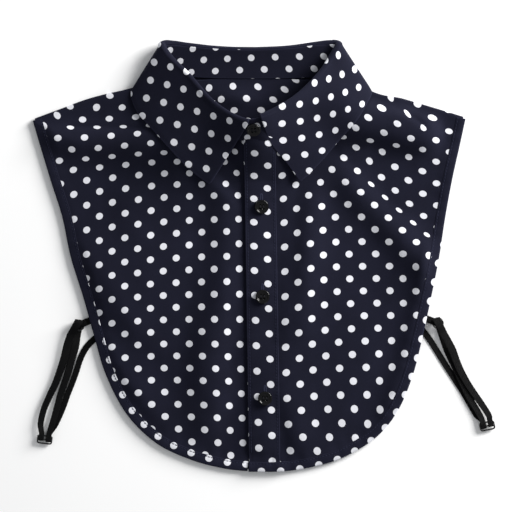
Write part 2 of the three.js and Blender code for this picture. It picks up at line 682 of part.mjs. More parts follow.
for (const { side, ring, slider, tab, first, second, third } of STRAPS) {
  const flat = vec(0, 0, 1);
  shapes[`${side}_strap_ring`] = placed(RING, vec(ring.x, ring.y, RING_HEIGHT), flat, heading(ring.towards));
  const leaving = heading(slider.towards);
  const across = vec(-leaving.y, leaving.x);
  const middle = vec(slider.x, slider.y, SLIDER_HEIGHT);
  shapes[`${side}_strap_slider`] = placed(SLIDER, middle, flat, across);
  const atSlider = (off, z) => ({
    x: slider.x + leaving.x * off,
    y: slider.y + leaving.y * off,
    z: SLIDER_HEIGHT + z,
    heading: leaving,
  });
  const inner = OVER_WIRE; // the strap's own end, next to the bar
  const outer = inner + STRAP_THICKNESS + GAP;
  const sliderTurn = [
    atSlider(-4.5, outer),
    atSlider(-0.2, outer),
    atSlider(1.05, outer - 0.55),
    atSlider(1.45, (outer - inner) / 2),
    atSlider(1.05, 0.55 - inner),
    atSlider(-0.2, -inner),
    atSlider(-4.5, -inner),
  ];
  shapes[`${side}_strap`] = ribbon(
    [
      atSlider(0, inner),
      atSlider(-4.5, inner),
      ...first,
      ...throughRing(ring, heading(ring.towards), IN_RING_WIDTH),
      ...second,
      ...sliderTurn,
      ...third,
    ],
    STRAP_THICKNESS,
    3,
  );
  const toPanel = vec(tab.x - ring.x, tab.y - ring.y).normalize();
  const loop = throughRing(ring, toPanel, IN_RING_WIDTH);
  loop[loop.length - 1] = { ...loop.at(-2), x: loop.at(-2).x + 2 * toPanel.x, y: loop.at(-2).y + 2 * toPanel.y };
  shapes[`${side}_strap_tab`] = ribbon(
    [{ ...tab, z: loop[0].z, heading: toPanel }, ...loop.slice(1)],
    STRAP_THICKNESS,
    3,
  );
}

const NAVY = { color: 0x1f1f2d, roughness: 0.85 };
const BLACK_RESIN = { color: 0x0a0a0c, roughness: 0.15 };
const ELASTIC = { color: 0x17171b, roughness: 0.5 };
const COATED_METAL = { color: 0x0c0c0e, roughness: 0.3, metalness: 0.4 };
function materialOf(name) {
  if (name.includes("button")) return BLACK_RESIN;
  if (name.endsWith("_ring") || name.endsWith("_slider")) return COATED_METAL;
  return name.includes("strap") ? ELASTIC : NAVY;
}

const object = new THREE.Group();
object.name = "detachable_collar";
for (const [name, geometry] of Object.entries(shapes)) {
  const mesh = new THREE.Mesh(geometry, new THREE.MeshStandardMaterial(materialOf(name)));
  mesh.name = name;
  object.add(mesh);
}
export default object;
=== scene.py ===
# %% [markdown]
# A detachable shirt collar, photographed from straight above. Only the parts that show under a
# sweater are there: two short fronts and a back with bound edges, a stand and a turned-down leaf,
# a button placket, and an adjustable elastic strap at each side.
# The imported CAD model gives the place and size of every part. Each part is made again here in
# finer cloth, on the same lines, because the CAD solids are too coarse for folds and stitches.

import bpy
import numpy as np
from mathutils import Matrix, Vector


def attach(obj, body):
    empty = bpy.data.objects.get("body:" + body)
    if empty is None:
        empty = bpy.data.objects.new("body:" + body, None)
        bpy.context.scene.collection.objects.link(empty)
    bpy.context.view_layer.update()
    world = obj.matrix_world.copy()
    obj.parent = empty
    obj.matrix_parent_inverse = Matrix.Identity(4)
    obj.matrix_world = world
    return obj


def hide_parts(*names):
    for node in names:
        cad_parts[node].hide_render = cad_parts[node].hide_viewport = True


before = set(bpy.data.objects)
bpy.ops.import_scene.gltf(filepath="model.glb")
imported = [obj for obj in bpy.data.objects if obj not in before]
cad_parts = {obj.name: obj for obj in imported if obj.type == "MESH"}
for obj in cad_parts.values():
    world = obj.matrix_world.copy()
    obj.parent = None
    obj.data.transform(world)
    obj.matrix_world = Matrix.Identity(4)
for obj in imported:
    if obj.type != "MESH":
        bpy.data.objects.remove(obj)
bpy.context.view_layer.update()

# %% [markdown]
# The photograph was taken from above with a long lens, so nearly every part shows at its true
# place. Such a view could be set by eye. Here the camera's height and lens give the width of
# table that the photograph shows, so a place in the picture can be worked out from a place in mm.

# %% Camera
MM = 0.001
VIEW_CENTRE = np.array([-6.15, -1.23])  # mm, the middle of the photograph on the table
VIEW_HEIGHT = 3000.0  # mm, from the table to the camera
VIEW_WIDTH = 419.84  # mm of table across the picture
SENSOR = 36.0  # mm

camera_data = bpy.data.cameras.new("camera")
camera_data.sensor_width = SENSOR
camera_data.lens = SENSOR * VIEW_HEIGHT / VIEW_WIDTH
camera = bpy.data.objects.new("camera", camera_data)
camera.location = (VIEW_CENTRE[0] * MM, VIEW_CENTRE[1] * MM, VIEW_HEIGHT * MM)
bpy.context.scene.collection.objects.link(camera)
bpy.context.scene.camera = camera
print("lens", round(camera_data.lens, 1), "mm")


def in_photo(p):
    """Where the camera sees a point, in mm on the table."""
    nearer = VIEW_HEIGHT / (VIEW_HEIGHT - p[..., 2:3])
    return VIEW_CENTRE + (p[..., :2] - VIEW_CENTRE) * nearer


# %% [markdown]
# The light in the photograph is a wide soft lamp up on the right, with a white room round it. A
# single lamp would make the folds hard and the floor grey, so most of the light comes from the
# world, and one large lamp low on the right draws the folds.

# %% Light
WORLD_STRENGTH, WORLD_COLOUR = 0.41, (0.97, 0.985, 1.0, 1)
LAMP_SIZE = 1.0  # m
LAMP_PLACE = np.array([1.56, 1.05, 0.78])  # m, from the middle of the table
LAMP_POWER, LAMP_COLOUR = 89.0, (1.0, 0.985, 0.965)

world = bpy.data.worlds.new("white_room")
world.use_nodes = True
background = world.node_tree.nodes["Background"]
background.inputs["Color"].default_value = WORLD_COLOUR
background.inputs["Strength"].default_value = WORLD_STRENGTH
bpy.context.scene.world = world
bpy.context.scene.view_settings.view_transform = "Standard"

lamp_data = bpy.data.lights.new("soft_lamp", "AREA")
lamp_data.size = LAMP_SIZE
lamp_data.energy = LAMP_POWER
lamp_data.color = LAMP_COLOUR
lamp = bpy.data.objects.new("soft_lamp", lamp_data)
lamp.location = LAMP_PLACE
lamp.rotation_mode = "QUATERNION"
lamp.rotation_quaternion = Vector(-LAMP_PLACE).to_track_quat("-Z", "Y")
bpy.context.scene.collection.objects.link(lamp)
print("lamp", LAMP_POWER, "W at", LAMP_PLACE.tolist())

# %% [markdown]
# All finishes are made of nodes. They could be set by hand in the shader editor, but then nobody
# could read them here. A short helper adds one node with its settings and its inputs, where an
# input is either a value or another node's output. It keeps each finish on a few lines.

# %% Node helpers
def new_material(name):
    material = bpy.data.materials.new(name)
    material.use_nodes = True
    return material, material.node_tree, material.node_tree.nodes["Principled BSDF"]


def feed(tree, value, socket):
    """Give a socket a plain value or another node's output."""
    if isinstance(value, bpy.types.NodeSocket):
        tree.links.new(value, socket)
    else:
        socket.default_value = value


def node(tree, kind, settings=None, **inputs):
    """One node. Each input goes by its name, or by its number after an underscore."""
    made = tree.nodes.new("ShaderNode" + kind)
    for key, value in (settings or {}).items():
        setattr(made, key, value)
    for key, value in inputs.items():
        feed(tree, value, made.inputs[int(key[1:])] if key[0] == "_" else made.inputs[key])
    return made


def maths(tree, operation, a, b=0.0, c=0.0):
    return node(tree, "Math", {"operation": operation}, _0=a, _1=b, _2=c).outputs[0]


def vector_maths(tree, operation, a, b=(0, 0, 0), output=0):
    return node(tree, "VectorMath", {"operation": operation}, _0=a, _1=b).outputs[output]


def weighted(tree, *terms):
    """The sum of some values, each times its weight."""
    total = 0.0
    for value, weight in reversed(terms):
        total = maths(tree, "MULTIPLY_ADD", value, weight, total)
    return total


def remap(tree, value, low, high, to_low=0.0, to_high=1.0):
    limits = {"From Min": low, "From Max": high, "To Min": to_low, "To Max": to_high}
    made = node(tree, "MapRange", {"interpolation_type": "SMOOTHSTEP"}, Value=value, **limits)
    return made.outputs[0]


def noise(tree, vector, scale, detail=2.0, roughness=0.5):
    made = node(tree, "TexNoise", None, Vector=vector, Scale=scale, Detail=detail, Roughness=roughness)
    return made.outputs["Fac"]


def wave(tree, vector, way, scale, distortion):
    """Soft even bands, square to one way of the map."""
    settings = {"bands_direction": way}
    made = node(tree, "TexWave", settings, Vector=vector, Scale=scale, Distortion=distortion)
    return made.outputs["Fac"]


def stretched(tree, vector, x, y, turned=0.0):
    """A map scaled in x and y and turned."""
    made = node(tree, "Mapping", None, Vector=vector, Scale=(x, y, 1), Rotation=(0, 0, turned))
    return made.outputs[0]


def blend_colours(tree, amount, first, second):
    return node(tree, "Mix", {"data_type": "RGBA"}, Factor=amount, _6=first, _7=second).outputs[2]


def dress(tree, shader, colour, roughness, specular):
    """Give the shader its colour, its roughness and the strength of its reflections."""
    feed(tree, colour, shader.inputs["Base Color"])
    feed(tree, roughness, shader.inputs["Roughness"])
    shader.inputs["Specular IOR Level"].default_value = specular


def bump(tree, shader, height, strength, distance):
    made = node(tree, "Bump", None, Height=height, Strength=strength, Distance=distance)
    tree.links.new(made.outputs[0], shader.inputs["Normal"])


# %% [markdown]
# The floor is a plain sheet of white paper. A perfectly even colour looks false next to cloth,
# so a faint mottle and a little grain are put in.

# %% Floor
floor_material, tree, shader = new_material("white_paper")
place = node(tree, "TexCoord").outputs["Object"]
mottle = noise(tree, place, 9.0, 4.0)
paper = blend_colours(tree, mottle, (0.955, 0.96, 0.97, 1), (0.975, 0.98, 0.985, 1))
dress(tree, shader, paper, 0.9, 0.2)
bump(tree, shader, noise(tree, place, 900.0), 0.1, 0.0003)

FLOOR_HALF = 2.2  # m
floor_mesh = bpy.data.meshes.new("floor")
corners = [(FLOOR_HALF * x, FLOOR_HALF * y, 0) for x, y in ((-1, -1), (1, -1), (1, 1), (-1, 1))]
floor_mesh.from_pydata(corners, [], [(0, 1, 2, 3)])
floor_mesh.materials.append(floor_material)
floor = bpy.data.objects.new("floor", floor_mesh)
bpy.context.scene.collection.objects.link(floor)
print("floor", 2 * FLOOR_HALF, "m wide")

# %% [markdown]
# The cloth is a light cotton poplin, navy with printed white dots. The dots lie on a square
# lattice that stands on its corner. Painted dots would need an image, so a dot is worked out:
# each piece of cloth has a map called print, in steps of the lattice, and a point is white where
# it lies near a whole number. The weave runs at 45 degrees to the lattice, in threads of 0.4 mm.

# %% Dotted cotton
LATTICE = 14.6  # mm from dot to dot
DOT_RADIUS = 2.82  # mm
DOT_SOFTNESS = 0.008  # of the step from dot to dot
THREAD_PITCH = 0.42  # mm
ON_THE_BIAS = np.pi / 4  # the weave's angle to the lattice
ONE_WAVE = 0.3183  # the scale at which a band repeats once for each unit of the map
NAVY = (0.0073, 0.0078, 0.0170)
DOT_WHITE = (0.69, 0.70, 0.755)


def toned(colour, factor, plus=0.0):
    """A lighter or darker tone of a colour, with its alpha."""
    return tuple(factor * c + plus for c in colour) + (1,)


def thread_relief(tree, cloth_map):
    """Threads along both ways of the weave, each over the other in turn."""
    per_thread = LATTICE / THREAD_PITCH / 2
    weave = stretched(tree, cloth_map, per_thread, per_thread, ON_THE_BIAS)
    first, second = (wave(tree, weave, way, ONE_WAVE, 0.6) for way in ("X", "Y"))
    over = node(tree, "TexChecker", None, Vector=weave, Scale=2.0).outputs["Fac"]
    under = maths(tree, "SUBTRACT", 1.0, over)
    return maths(tree, "MULTIPLY_ADD", over, first, maths(tree, "MULTIPLY", under, second))


def thick_and_thin(tree, cloth_map):
    """Thicker and thinner threads, long and narrow, both ways."""
    ways = [stretched(tree, cloth_map, x, y, ON_THE_BIAS) for x, y in ((3.0, 70.0), (70.0, 3.0))]
    return maths(tree, "MULTIPLY", *(noise(tree, way, 1.0, 2.0) for way in ways))


def inside_a_dot(tree, cloth_map, grain):
    """1 inside a dot and 0 outside it, with an edge that the grain of the cloth makes ragged."""
    shifted = vector_maths(tree, "ADD", cloth_map, (0.5, 0.5, 0))
    cell = vector_maths(tree, "FRACTION", shifted)
    offset = vector_maths(tree, "SUBTRACT", cell, (0.5, 0.5, 0))
    flat_offset = vector_maths(tree, "MULTIPLY", offset, (1, 1, 0))
    away = vector_maths(tree, "LENGTH", flat_offset, output="Value")
    ragged = maths(tree, "MULTIPLY_ADD", maths(tree, "SUBTRACT", grain, 0.5), 0.03, away)
    radius = DOT_RADIUS / LATTICE
    return remap(tree, ragged, radius + DOT_SOFTNESS, radius - DOT_SOFTNESS)


def dotted_cotton(name, navy, dot_white):
    material, tree, shader = new_material(name)
    cloth_map = node(tree, "UVMap", {"uv_map": "print"}).outputs[0]
    grain = noise(tree, cloth_map, 34.0, 3.0, 0.6)
    threads, slub = thread_relief(tree, cloth_map), thick_and_thin(tree, cloth_map)
    clouds = noise(tree, cloth_map, 0.55, 3.0)
    shade = weighted(tree, (slub, 0.9), (clouds, 0.5), (threads, 0.35))
    colour = blend_colours(tree, remap(tree, shade, 0.25, 0.95), toned(navy, 0.72), toned(navy, 1.3))
    # Cloth rubs pale where it is folded hard
    worn = node(tree, "Attribute", {"attribute_name": "worn"}).outputs["Fac"]
    rubbed = maths(tree, "MULTIPLY", worn, remap(tree, grain, 0.35, 0.7, 0.15, 0.6))
    colour = blend_colours(tree, rubbed, colour, toned(navy, 2.6, 0.004))
    dust = remap(tree, shade, 0.3, 0.9)
    pigment = blend_colours(tree, dust, toned(dot_white, 0.93), toned(dot_white, 1.0))
    colour = blend_colours(tree, inside_a_dot(tree, cloth_map, grain), colour, pigment)
    dress(tree, shader, colour, maths(tree, "MULTIPLY_ADD", grain, 0.12, 0.84), 0.1)
    shader.inputs["Sheen Weight"].default_value = 0.06
    shader.inputs["Sheen Roughness"].default_value = 0.45
    shader.inputs["Sheen Tint"].default_value = (0.55, 0.6, 1.0, 1)
    bump(tree, shader, maths(tree, "MULTIPLY_ADD", slub, 0.7, threads), 0.35, 0.00012)
    return material


cotton = dotted_cotton("dotted_cotton", NAVY, DOT_WHITE)
print("cotton with dots of", 2 * DOT_RADIUS, "mm,", LATTICE, "mm apart")

# %% [markdown]
# The straps are black elastic with a satin face, ribbed along and finely across. The buttons are
# moulded black resin, polished. The rings and sliders are wire with a black coat that is worn
# to the metal in a few places. The sewing thread is a shade lighter than the cloth. Elastic and
# thread need a map that runs along them, so those pieces have one called run, in mm.

# %% Elastic, resin, coated wire and thread
def run_map(tree):
    return node(tree, "UVMap", {"uv_map": "run"}).outputs[0]


def object_place(tree):
    return node(tree, "TexCoord").outputs["Object"]


def make_elastic():
    material, tree, shader = new_material("black_elastic")
    along = run_map(tree)
    ribs, picks = wave(tree, along, "Y", 0.45, 0.3), wave(tree, along, "X", 0.34, 1.2)
    fuzz = noise(tree, along, 2.2, 4.0)
    tone = remap(tree, weighted(tree, (ribs, 0.4), (picks, 0.3), (fuzz, 0.5)), 0.2, 1.0)
    colour = blend_colours(tree, tone, (0.0009, 0.00095, 0.0012, 1), (0.0036, 0.0037, 0.0045, 1))
    dress(tree, shader, colour, maths(tree, "MULTIPLY_ADD", fuzz, 0.25, 0.36), 0.07)
    bump(tree, shader, maths(tree, "MULTIPLY_ADD", picks, 0.6, ribs), 0.7, 0.0003)
    return material


def make_resin():
    material, tree, shader = new_material("black_resin")
    place = object_place(tree)
    smear = noise(tree, place, 260.0, 3.0)
    scratch = noise(tree, stretched(tree, place, 900.0, 7000.0, 0.6), 1.0, 2.0)
    colour = blend_colours(tree, smear, (0.0014, 0.0014, 0.0017, 1), (0.0036, 0.0036, 0.0043, 1))
    dress(tree, shader, colour, remap(tree, smear, 0.3, 0.7, 0.09, 0.2), 0.27)
    bump(tree, shader, maths(tree, "MULTIPLY_ADD", scratch, 0.2, smear), 0.08, 0.0002)
    return material


def make_coated_wire():
    material, tree, shader = new_material("coated_wire")
    place = object_place(tree)
    chips = remap(tree, noise(tree, place, 420.0, 4.0, 0.65), 0.66, 0.7)
    smear = noise(tree, place, 190.0, 2.0)
    coat = blend_colours(tree, smear, (0.006, 0.006, 0.007, 1), (0.016, 0.016, 0.018, 1))
    colour = blend_colours(tree, chips, coat, (0.42, 0.42, 0.43, 1))
    dress(tree, shader, colour, remap(tree, smear, 0.3, 0.7, 0.18, 0.34), 0.5)
    tree.links.new(chips, shader.inputs["Metallic"])
    bump(tree, shader, maths(tree, "SUBTRACT", smear, chips), 0.15, 0.0002)
    return material


def make_thread(name, dark, light):
    material, tree, shader = new_material(name)
    along = run_map(tree)
    twist = wave(tree, along, "DIAGONAL", 1.1, 0.4)
    tone = weighted(tree, (noise(tree, along, 1.3), 0.6), (twist, 0.5))
    colour = blend_colours(tree, tone, dark, light)
    dress(tree, shader, colour, maths(tree, "MULTIPLY_ADD", twist, 0.15, 0.5), 0.14)
    bump(tree, shader, twist, 0.5, 0.0001)
    return material


elastic = make_elastic()
resin = make_resin()
coated_wire = make_coated_wire()
navy_thread = make_thread("navy_thread", (0.0075, 0.0084, 0.0195, 1), (0.021, 0.024, 0.054, 1))
dark_thread = make_thread("dark_thread", (0.004, 0.004, 0.006, 1), (0.012, 0.012, 0.017, 1))
print("finishes:", [m.name for m in (elastic, resin, coated_wire, navy_thread, dark_thread)])

# %% [markdown]
# Every line of the collar is a smooth curve through a short table, as a pattern cutter draws it
# through marks on paper. The curve passes through each row, so the tables can be read off the
# photograph in mm. The same curve is used in the CAD model, so the two agree.

# %% Curves through tables
UPWARDS = np.array([0.0, 0.0, 1.0])


def mix(a, b, t):
    return a + (b - a) * t


def smooth(t):
    """0 below 0, 1 above 1, and a soft climb between."""
    t = np.clip(t, 0, 1)
    return t * t * (3 - 2 * t)


def bell(distance, width):
    return np.exp(-((distance / width) ** 2))


def full_turn(count):
    """Angles evenly round a circle."""
    return np.linspace(0, 2 * np.pi, count + 1)[:-1]


def unit(v):
    return v / np.linalg.norm(v, axis=-1, keepdims=True)


def through(rows):
    """A smooth curve through rows of points, by the row's number."""
    p = np.asarray(rows, float)
    last = len(p) - 1
    p = np.concatenate([[2 * p[0] - p[1]], p, [2 * p[-1] - p[-2]]])

    def at(t):
        t = np.clip(np.asarray(t, float), 0, last)
        i = np.minimum(t.astype(int), last - 1)
        w = (t - i)[..., None]
        a, b, c, d = p[i], p[i + 1], p[i + 2], p[i + 3]
        bend, twist = 2 * a - 5 * b + 4 * c - d, 3 * (b - c) + d - a
        return 0.5 * (2 * b + (c - a) * w + bend * w**2 + twist * w**3)

    return at


NEARBY = 0.05  # rows to each side, for the direction of an outline


def into_cloth(outline, row, inwards):
    """The way into the cloth at a row of an outline. inwards is 1 on the right and -1 on the left."""
    ahead = unit(outline(row + NEARBY) - outline(row - NEARBY))
    return inwards * np.stack([-ahead[..., 1], ahead[..., 0]], -1)


def inset(outline, row, distance, inwards):
    """Points of an outline moved into the cloth."""
    return outline(row) + np.asarray(distance)[..., None] * into_cloth(outline, row, inwards)


halfway = through([(0, 0), (10, 5), (20, 0)])(0.5)
print("a curve through three marks, halfway to the second:", halfway.tolist())

# %% [markdown]
# The outline runs from each shoulder point down the armhole and round the hem to the placket.
# Right and left are the wearer's, so right is on the left of the picture. Much of the shape
# depends on how far a place is from this outline, so the outline is also kept as a row of close
# points, and the nearest one is looked up.

# %% Outlines and shoulders
RIGHT_OUTLINE = [
    (-189, 109.5), (-183, 89), (-174.5, 61), (-165, 31), (-158, -2), (-148, -34), (-139, -66),
    (-129, -99), (-112, -131), (-88, -154.5), (-60, -168), (-34, -175), (-13.2, -177.5), (7, -178),
]
LEFT_OUTLINE = [
    (165.5, 111), (160.5, 88), (154.5, 61), (149, 31), (144, -1), (137.5, -34), (130.5, -66),
    (122.5, -98), (110, -128), (92, -150), (65, -166.5), (38, -174.5), (13.7, -177.8), (-12.2, -177.9),
]
SIDE_ROWS = 8  # rows of an outline before it turns into the hem
RIGHT_SHOULDER = [(-83.4, 143.4), (-109, 134.5), (-141, 127), (-166, 118), (-188.4, 109.7)]
LEFT_SHOULDER = [(65.9, 143.4), (93, 130.5), (115, 126), (141, 118.5), (164.9, 111.2)]

right_outline, left_outline = through(RIGHT_OUTLINE), through(LEFT_OUTLINE)
right_shoulder, left_shoulder = through(RIGHT_SHOULDER), through(LEFT_SHOULDER)

SAMPLES = 241  # along each of the four lines
AT_ONCE = 4000  # places that are looked up together
sampled = [
    curve(np.linspace(0, len(rows) - 1, SAMPLES))
    for curve, rows in (
        (right_outline, RIGHT_OUTLINE),
        (left_outline, LEFT_OUTLINE),
        (right_shoulder, RIGHT_SHOULDER),
        (left_shoulder, LEFT_SHOULDER),
    )
]
EDGE_PLACES = np.vstack(sampled)
EDGE_RUNS = np.concatenate([
    np.cumsum(np.linalg.norm(np.diff(line, axis=0, prepend=line[:1]), axis=1)) for line in sampled
])
EDGE_AHEAD = np.vstack([unit(np.gradient(line, axis=0)) for line in sampled])
EDGE_IS_BOUND = np.repeat([1.0, 1.0, 0.0, 0.0], SAMPLES)
print("outline lengths, mm:", [round(float(EDGE_RUNS[(k + 1) * SAMPLES - 1])) for k in range(4)])


def nearest_edge(p):
    """How far each place is from the outline, how far along it, and whether that edge is bound."""
    flat = p.reshape(-1, 2)
    distance, run, bound = (np.empty(len(flat)) for _ in range(3))
    for start in range(0, len(flat), AT_ONCE):
        these = slice(start, start + AT_ONCE)
        part = flat[these]
        away = np.hypot(part[:, None, 0] - EDGE_PLACES[:, 0], part[:, None, 1] - EDGE_PLACES[:, 1])
        k = away.argmin(1)
        distance[these] = away[np.arange(len(part)), k]
        run[these] = EDGE_RUNS[k] + ((part - EDGE_PLACES[k]) * EDGE_AHEAD[k]).sum(1)
        bound[these] = EDGE_IS_BOUND[k]
    return (a.reshape(p.shape[:-1]) for a in (distance, run, bound))


# %% [markdown]
# The front isn't flat. It has the soft folds of cloth that was put down by hand. A cloth
# simulation could make folds, but not these ones, so each fold that the photograph shows is one
# row of a table: a line, a height over or under the cloth, and a width. Nearly all rows were made
# by a separate program, a least-squares fit of the folds' light and shade to the photograph's.

# %% Folds of the front
FOLDS = [  # x1, y1, x2, y2, height, width, in mm
    (-179, 95, -81, 89, 6.6, 15),
    (-152, 74, -60, 48, -1.0, 15),
    (156, 125, 153, 110, -8.9, 10),
    (143, 88, 114, 76, -1.4, 6),
    (58, 92, 125, 81, -4.7, 13),
    (75, 53, 138, -12, 6.7, 16),
    (46, 61, 103, -63, -1.4, 20),
    (41, 41, 31, -48, 4.6, 13),
    (19, 55, 19, -61, 0.6, 6),
    (-52, 43, -51, 16, -3.1, 16),
    (-63, -32, -63, -110, -0.7, 11),
    (-16, -81, -51, -147, 1.3, 10),
    (-30, -27, -47, -89, 3.2, 16),
    (-137, -12, -90, -74, 0.5, 8),
    (-136, -96, -88, -150, -3.2, 11),
    (103, -21, 16, -79, -0.7, 9),
    (11, -128, 17, -157, -1.1, 6),
    (-109, 59, -104, -59, 2.2, 22),
    (117, -13, 68, -119, 1.3, 14),
    (-175, 55, -133, -32, 3.2, 19),
    (-8, 2, 7, -111, 1.5, 14),
    (97, 33, 133, 62, -2.1, 12),
    (9, -29, 29, -147, 1.4, 12),
    (-156, 104.6, -98, 103.2, -1.3, 2.2),
    (110, 121, 129, 107.5, -1.6, 2.5),
]
STEPS = [  # the cloth steps up or down across these lines, in the same columns
    (-104, 114, -80, 60, -5.0, 22),
    (70, 82, 132, 123, -2.1, 3),
    (51, 96, 120, 74, -8.3, 17),
    (130, -7, 92, -150, -3.8, 11),
    (-124, -74, -56, -177, 3.5, 11),
    (-23, 46, -35, -165, 1.7, 8),
]


def beside_line(line, x, y):
    """How far places are across a line from (x1, y1) to (x2, y2), and how far past its ends."""
    x1, y1, x2, y2 = line
    dx, dy = x2 - x1, y2 - y1
    length = np.hypot(dx, dy)
    along = ((x - x1) * dx + (y - y1) * dy) / length
    across = ((x - x1) * dy - (y - y1) * dx) / length
    return across, np.maximum(0, np.maximum(-along, along - length))


def fold_height(fold, p, is_step=False):
    *line, height, width = fold
    across, past = beside_line(line, p[..., 0], p[..., 1])
    ends = height * bell(past, 2 * width)
    if is_step:
        return ends * np.tanh(across / width) * bell(across, 4 * width)
    return ends * bell(across, width)


def all_folds(p):
    ridges = sum(fold_height(fold, p) for fold in FOLDS)
    return ridges + sum(fold_height(step, p, is_step=True) for step in STEPS)


print(len(FOLDS), "folds and", len(STEPS), "steps")

# %% [markdown]
# Between its folds the cloth has shallow waves, and it puckers along its stitches, where the
# thread draws it in. Noise could give such waves, but a sum of sines gives them at any place, for
# the front and for all that lies on it. The sines' directions are drawn from a seeded generator.

# %% Ripples and puckers
RIPPLE_LENGTHS = np.geomspace(16, 90, 44)  # mm
generator = np.random.default_rng(11)
WAVES = [  # angle, length, phase
    (generator.uniform(0, 2 * np.pi), length, generator.uniform(0, 2 * np.pi))
    for length in RIPPLE_LENGTHS
]
PLACKET_TOP, PLACKET_FOOT = np.array([-3.2, 92.2]), np.array([1.0, -169.1])
PLACKET_WIDTH = 24.6
EDGE_PUCKER, PLACKET_PUCKER = 0.3, 0.22  # mm
PUCKER_TOP = 92  # mm, the collar covers the placket above this


def ripples(p):
    """Shallow waves of many lengths and directions, about 1 mm high for the longest."""
    total = np.zeros(p.shape[:-1])
    for angle, length, phase in WAVES:
        along = p[..., 0] * np.cos(angle) + p[..., 1] * np.sin(angle)
        total += length * np.sin(2 * np.pi * along / length + phase)
    return total / 1150


def pucker(run):
    return (np.sin(run / 1.83) + np.sin(run / 2.41 + 1) + np.sin(run / 3.37 + 2)) / 3


def edge_puckers(distance, run, bound):
    return EDGE_PUCKER * bound * pucker(run) * bell(distance - 9, 6)


def placket_puckers(p):
    """Puckers beside the placket, from its foot to where the collar covers it."""
    along = np.clip((PLACKET_TOP[1] - p[..., 1]) / (PLACKET_TOP[1] - PLACKET_FOOT[1]), 0, 1)
    from_placket = np.abs(p[..., 0] - mix(PLACKET_TOP[0], PLACKET_FOOT[0], along)) - PLACKET_WIDTH / 2
    return PLACKET_PUCKER * pucker(1.3 * p[..., 1]) * bell(from_placket, 4.5) * (p[..., 1] < PUCKER_TOP)


print("ripples at the middle of the front:", round(float(ripples(np.array([0.0, 0.0]))), 2), "mm")

# %% [markdown]
# The height of the front is one function of the place, since the placket, the bindings and the
# collar all rest on it. The front lies on the back, so it is a little puffed inside its outline.
# It rises to the buttoned neck, it lies on the back of the leaf at the shoulders, and its folds
# fade out under the collar, where it is held flat.

# %% Height of the front
RIM_HEIGHT = 2.6  # mm at the outline
PUFF, PUFF_REACH = 3.6, 34.0  # mm more inside, from this far in
FOLD_REACH = 15.0  # mm from the outline to where the folds have their whole height
NECK_RISE = {"x": -8, "y": 104, "height": 9.5, "reach_x": 62, "reach_y": 36}
V_RISE = {"x": -2, "reach_x": 24, "y": 60, "reach_y": 31, "height": 10.5}  # up to the stand's button
SIDE_LIFT = 3.0  # mm that the left side stands off the back below the armhole
CLOTH_REST, REST_SHARPNESS = 1.9, 1.2  # mm, no fold goes lower than the back and its binding
ON_LEAF = 0.5  # mm that the back of the leaf adds
# The collar's two outer sides: a point on each, and the way that leads out from under it
COLLAR_SIDES = [((30.2, 59.8), (0.736, -0.677)), ((-44.1, 57.7), (-0.694, -0.72))]


def over_leaf(p):
    """How much the back of the leaf raises what lies on it, from 0 to 1."""
    return smooth((p[..., 1] - 102) / 12) * smooth((131 - np.abs(p[..., 0] + 8)) / 13)


def clear_of_collar(p):
    """0 well under the collar, where the cloth is flat and not seen, to 1 outside it."""
    out = [(p[..., 0] - x) * out_x + (p[..., 1] - y) * out_y for (x, y), (out_x, out_y) in COLLAR_SIDES]
    return smooth(1 + np.maximum(*out) / 13)


def neck_height(p, distance):
    """The rise to the neck, and the climb in the V between the leaf's two points."""
    off_x = (p[..., 0] - NECK_RISE["x"]) / NECK_RISE["reach_x"]
    off_y = (p[..., 1] - NECK_RISE["y"]) / NECK_RISE["reach_y"]
    neck = NECK_RISE["height"] * np.exp(-(off_x**2) - off_y**2) * smooth(distance / 20)
    up_the_v = np.clip((p[..., 1] - V_RISE["y"]) / V_RISE["reach_y"], 0, 1)
    climb = mix(up_the_v, smooth(up_the_v), 0.5) * smooth(distance / 8)
    return neck + V_RISE["height"] * climb * bell(p[..., 0] - V_RISE["x"], V_RISE["reach_x"])


def side_lift(p, distance):
    side = smooth((p[..., 0] - 50) / 40) * smooth((p[..., 1] + 150) / 50) * smooth((30 - p[..., 1]) / 50)
    return SIDE_LIFT * side * bell(distance, 16)


def front_height(p, folded=1.0):
    """Height of the middle of the front cloth over the table, in mm. folded=0 leaves the folds out."""
    distance, run, bound = nearest_edge(p)
    folds = smooth(distance / FOLD_REACH) * clear_of_collar(p) * folded * all_folds(p)
    puffed = RIM_HEIGHT + smooth(distance / PUFF_REACH) * (PUFF + ripples(p))
    height = puffed + folds + neck_height(p, distance) + side_lift(p, distance)
    # A soft floor, so that a deep fold settles on the cloth below it
    height = CLOTH_REST + np.logaddexp(0, (height - CLOTH_REST) * REST_SHARPNESS) / REST_SHARPNESS
    return height + ON_LEAF * over_leaf(p) + edge_puckers(distance, run, bound) + placket_puckers(p)


print("front at the neck:", round(float(front_height(np.array([0.0, 90.0]))), 1), "mm up")

# %% [markdown]
# The dots have to sit where the photograph shows them, also where the cloth leans and the rows
# draw together. Each piece has its own lattice, because each was cut on its own. A row of numbers
# turns a place into lattice steps: a plane for a flat piece, and a gently bent surface for a
# piece that curves. These numbers, and the jumps at the creases, weren't chosen by hand either: a
# separate program fitted them by least squares to the places of the dots in the photograph.

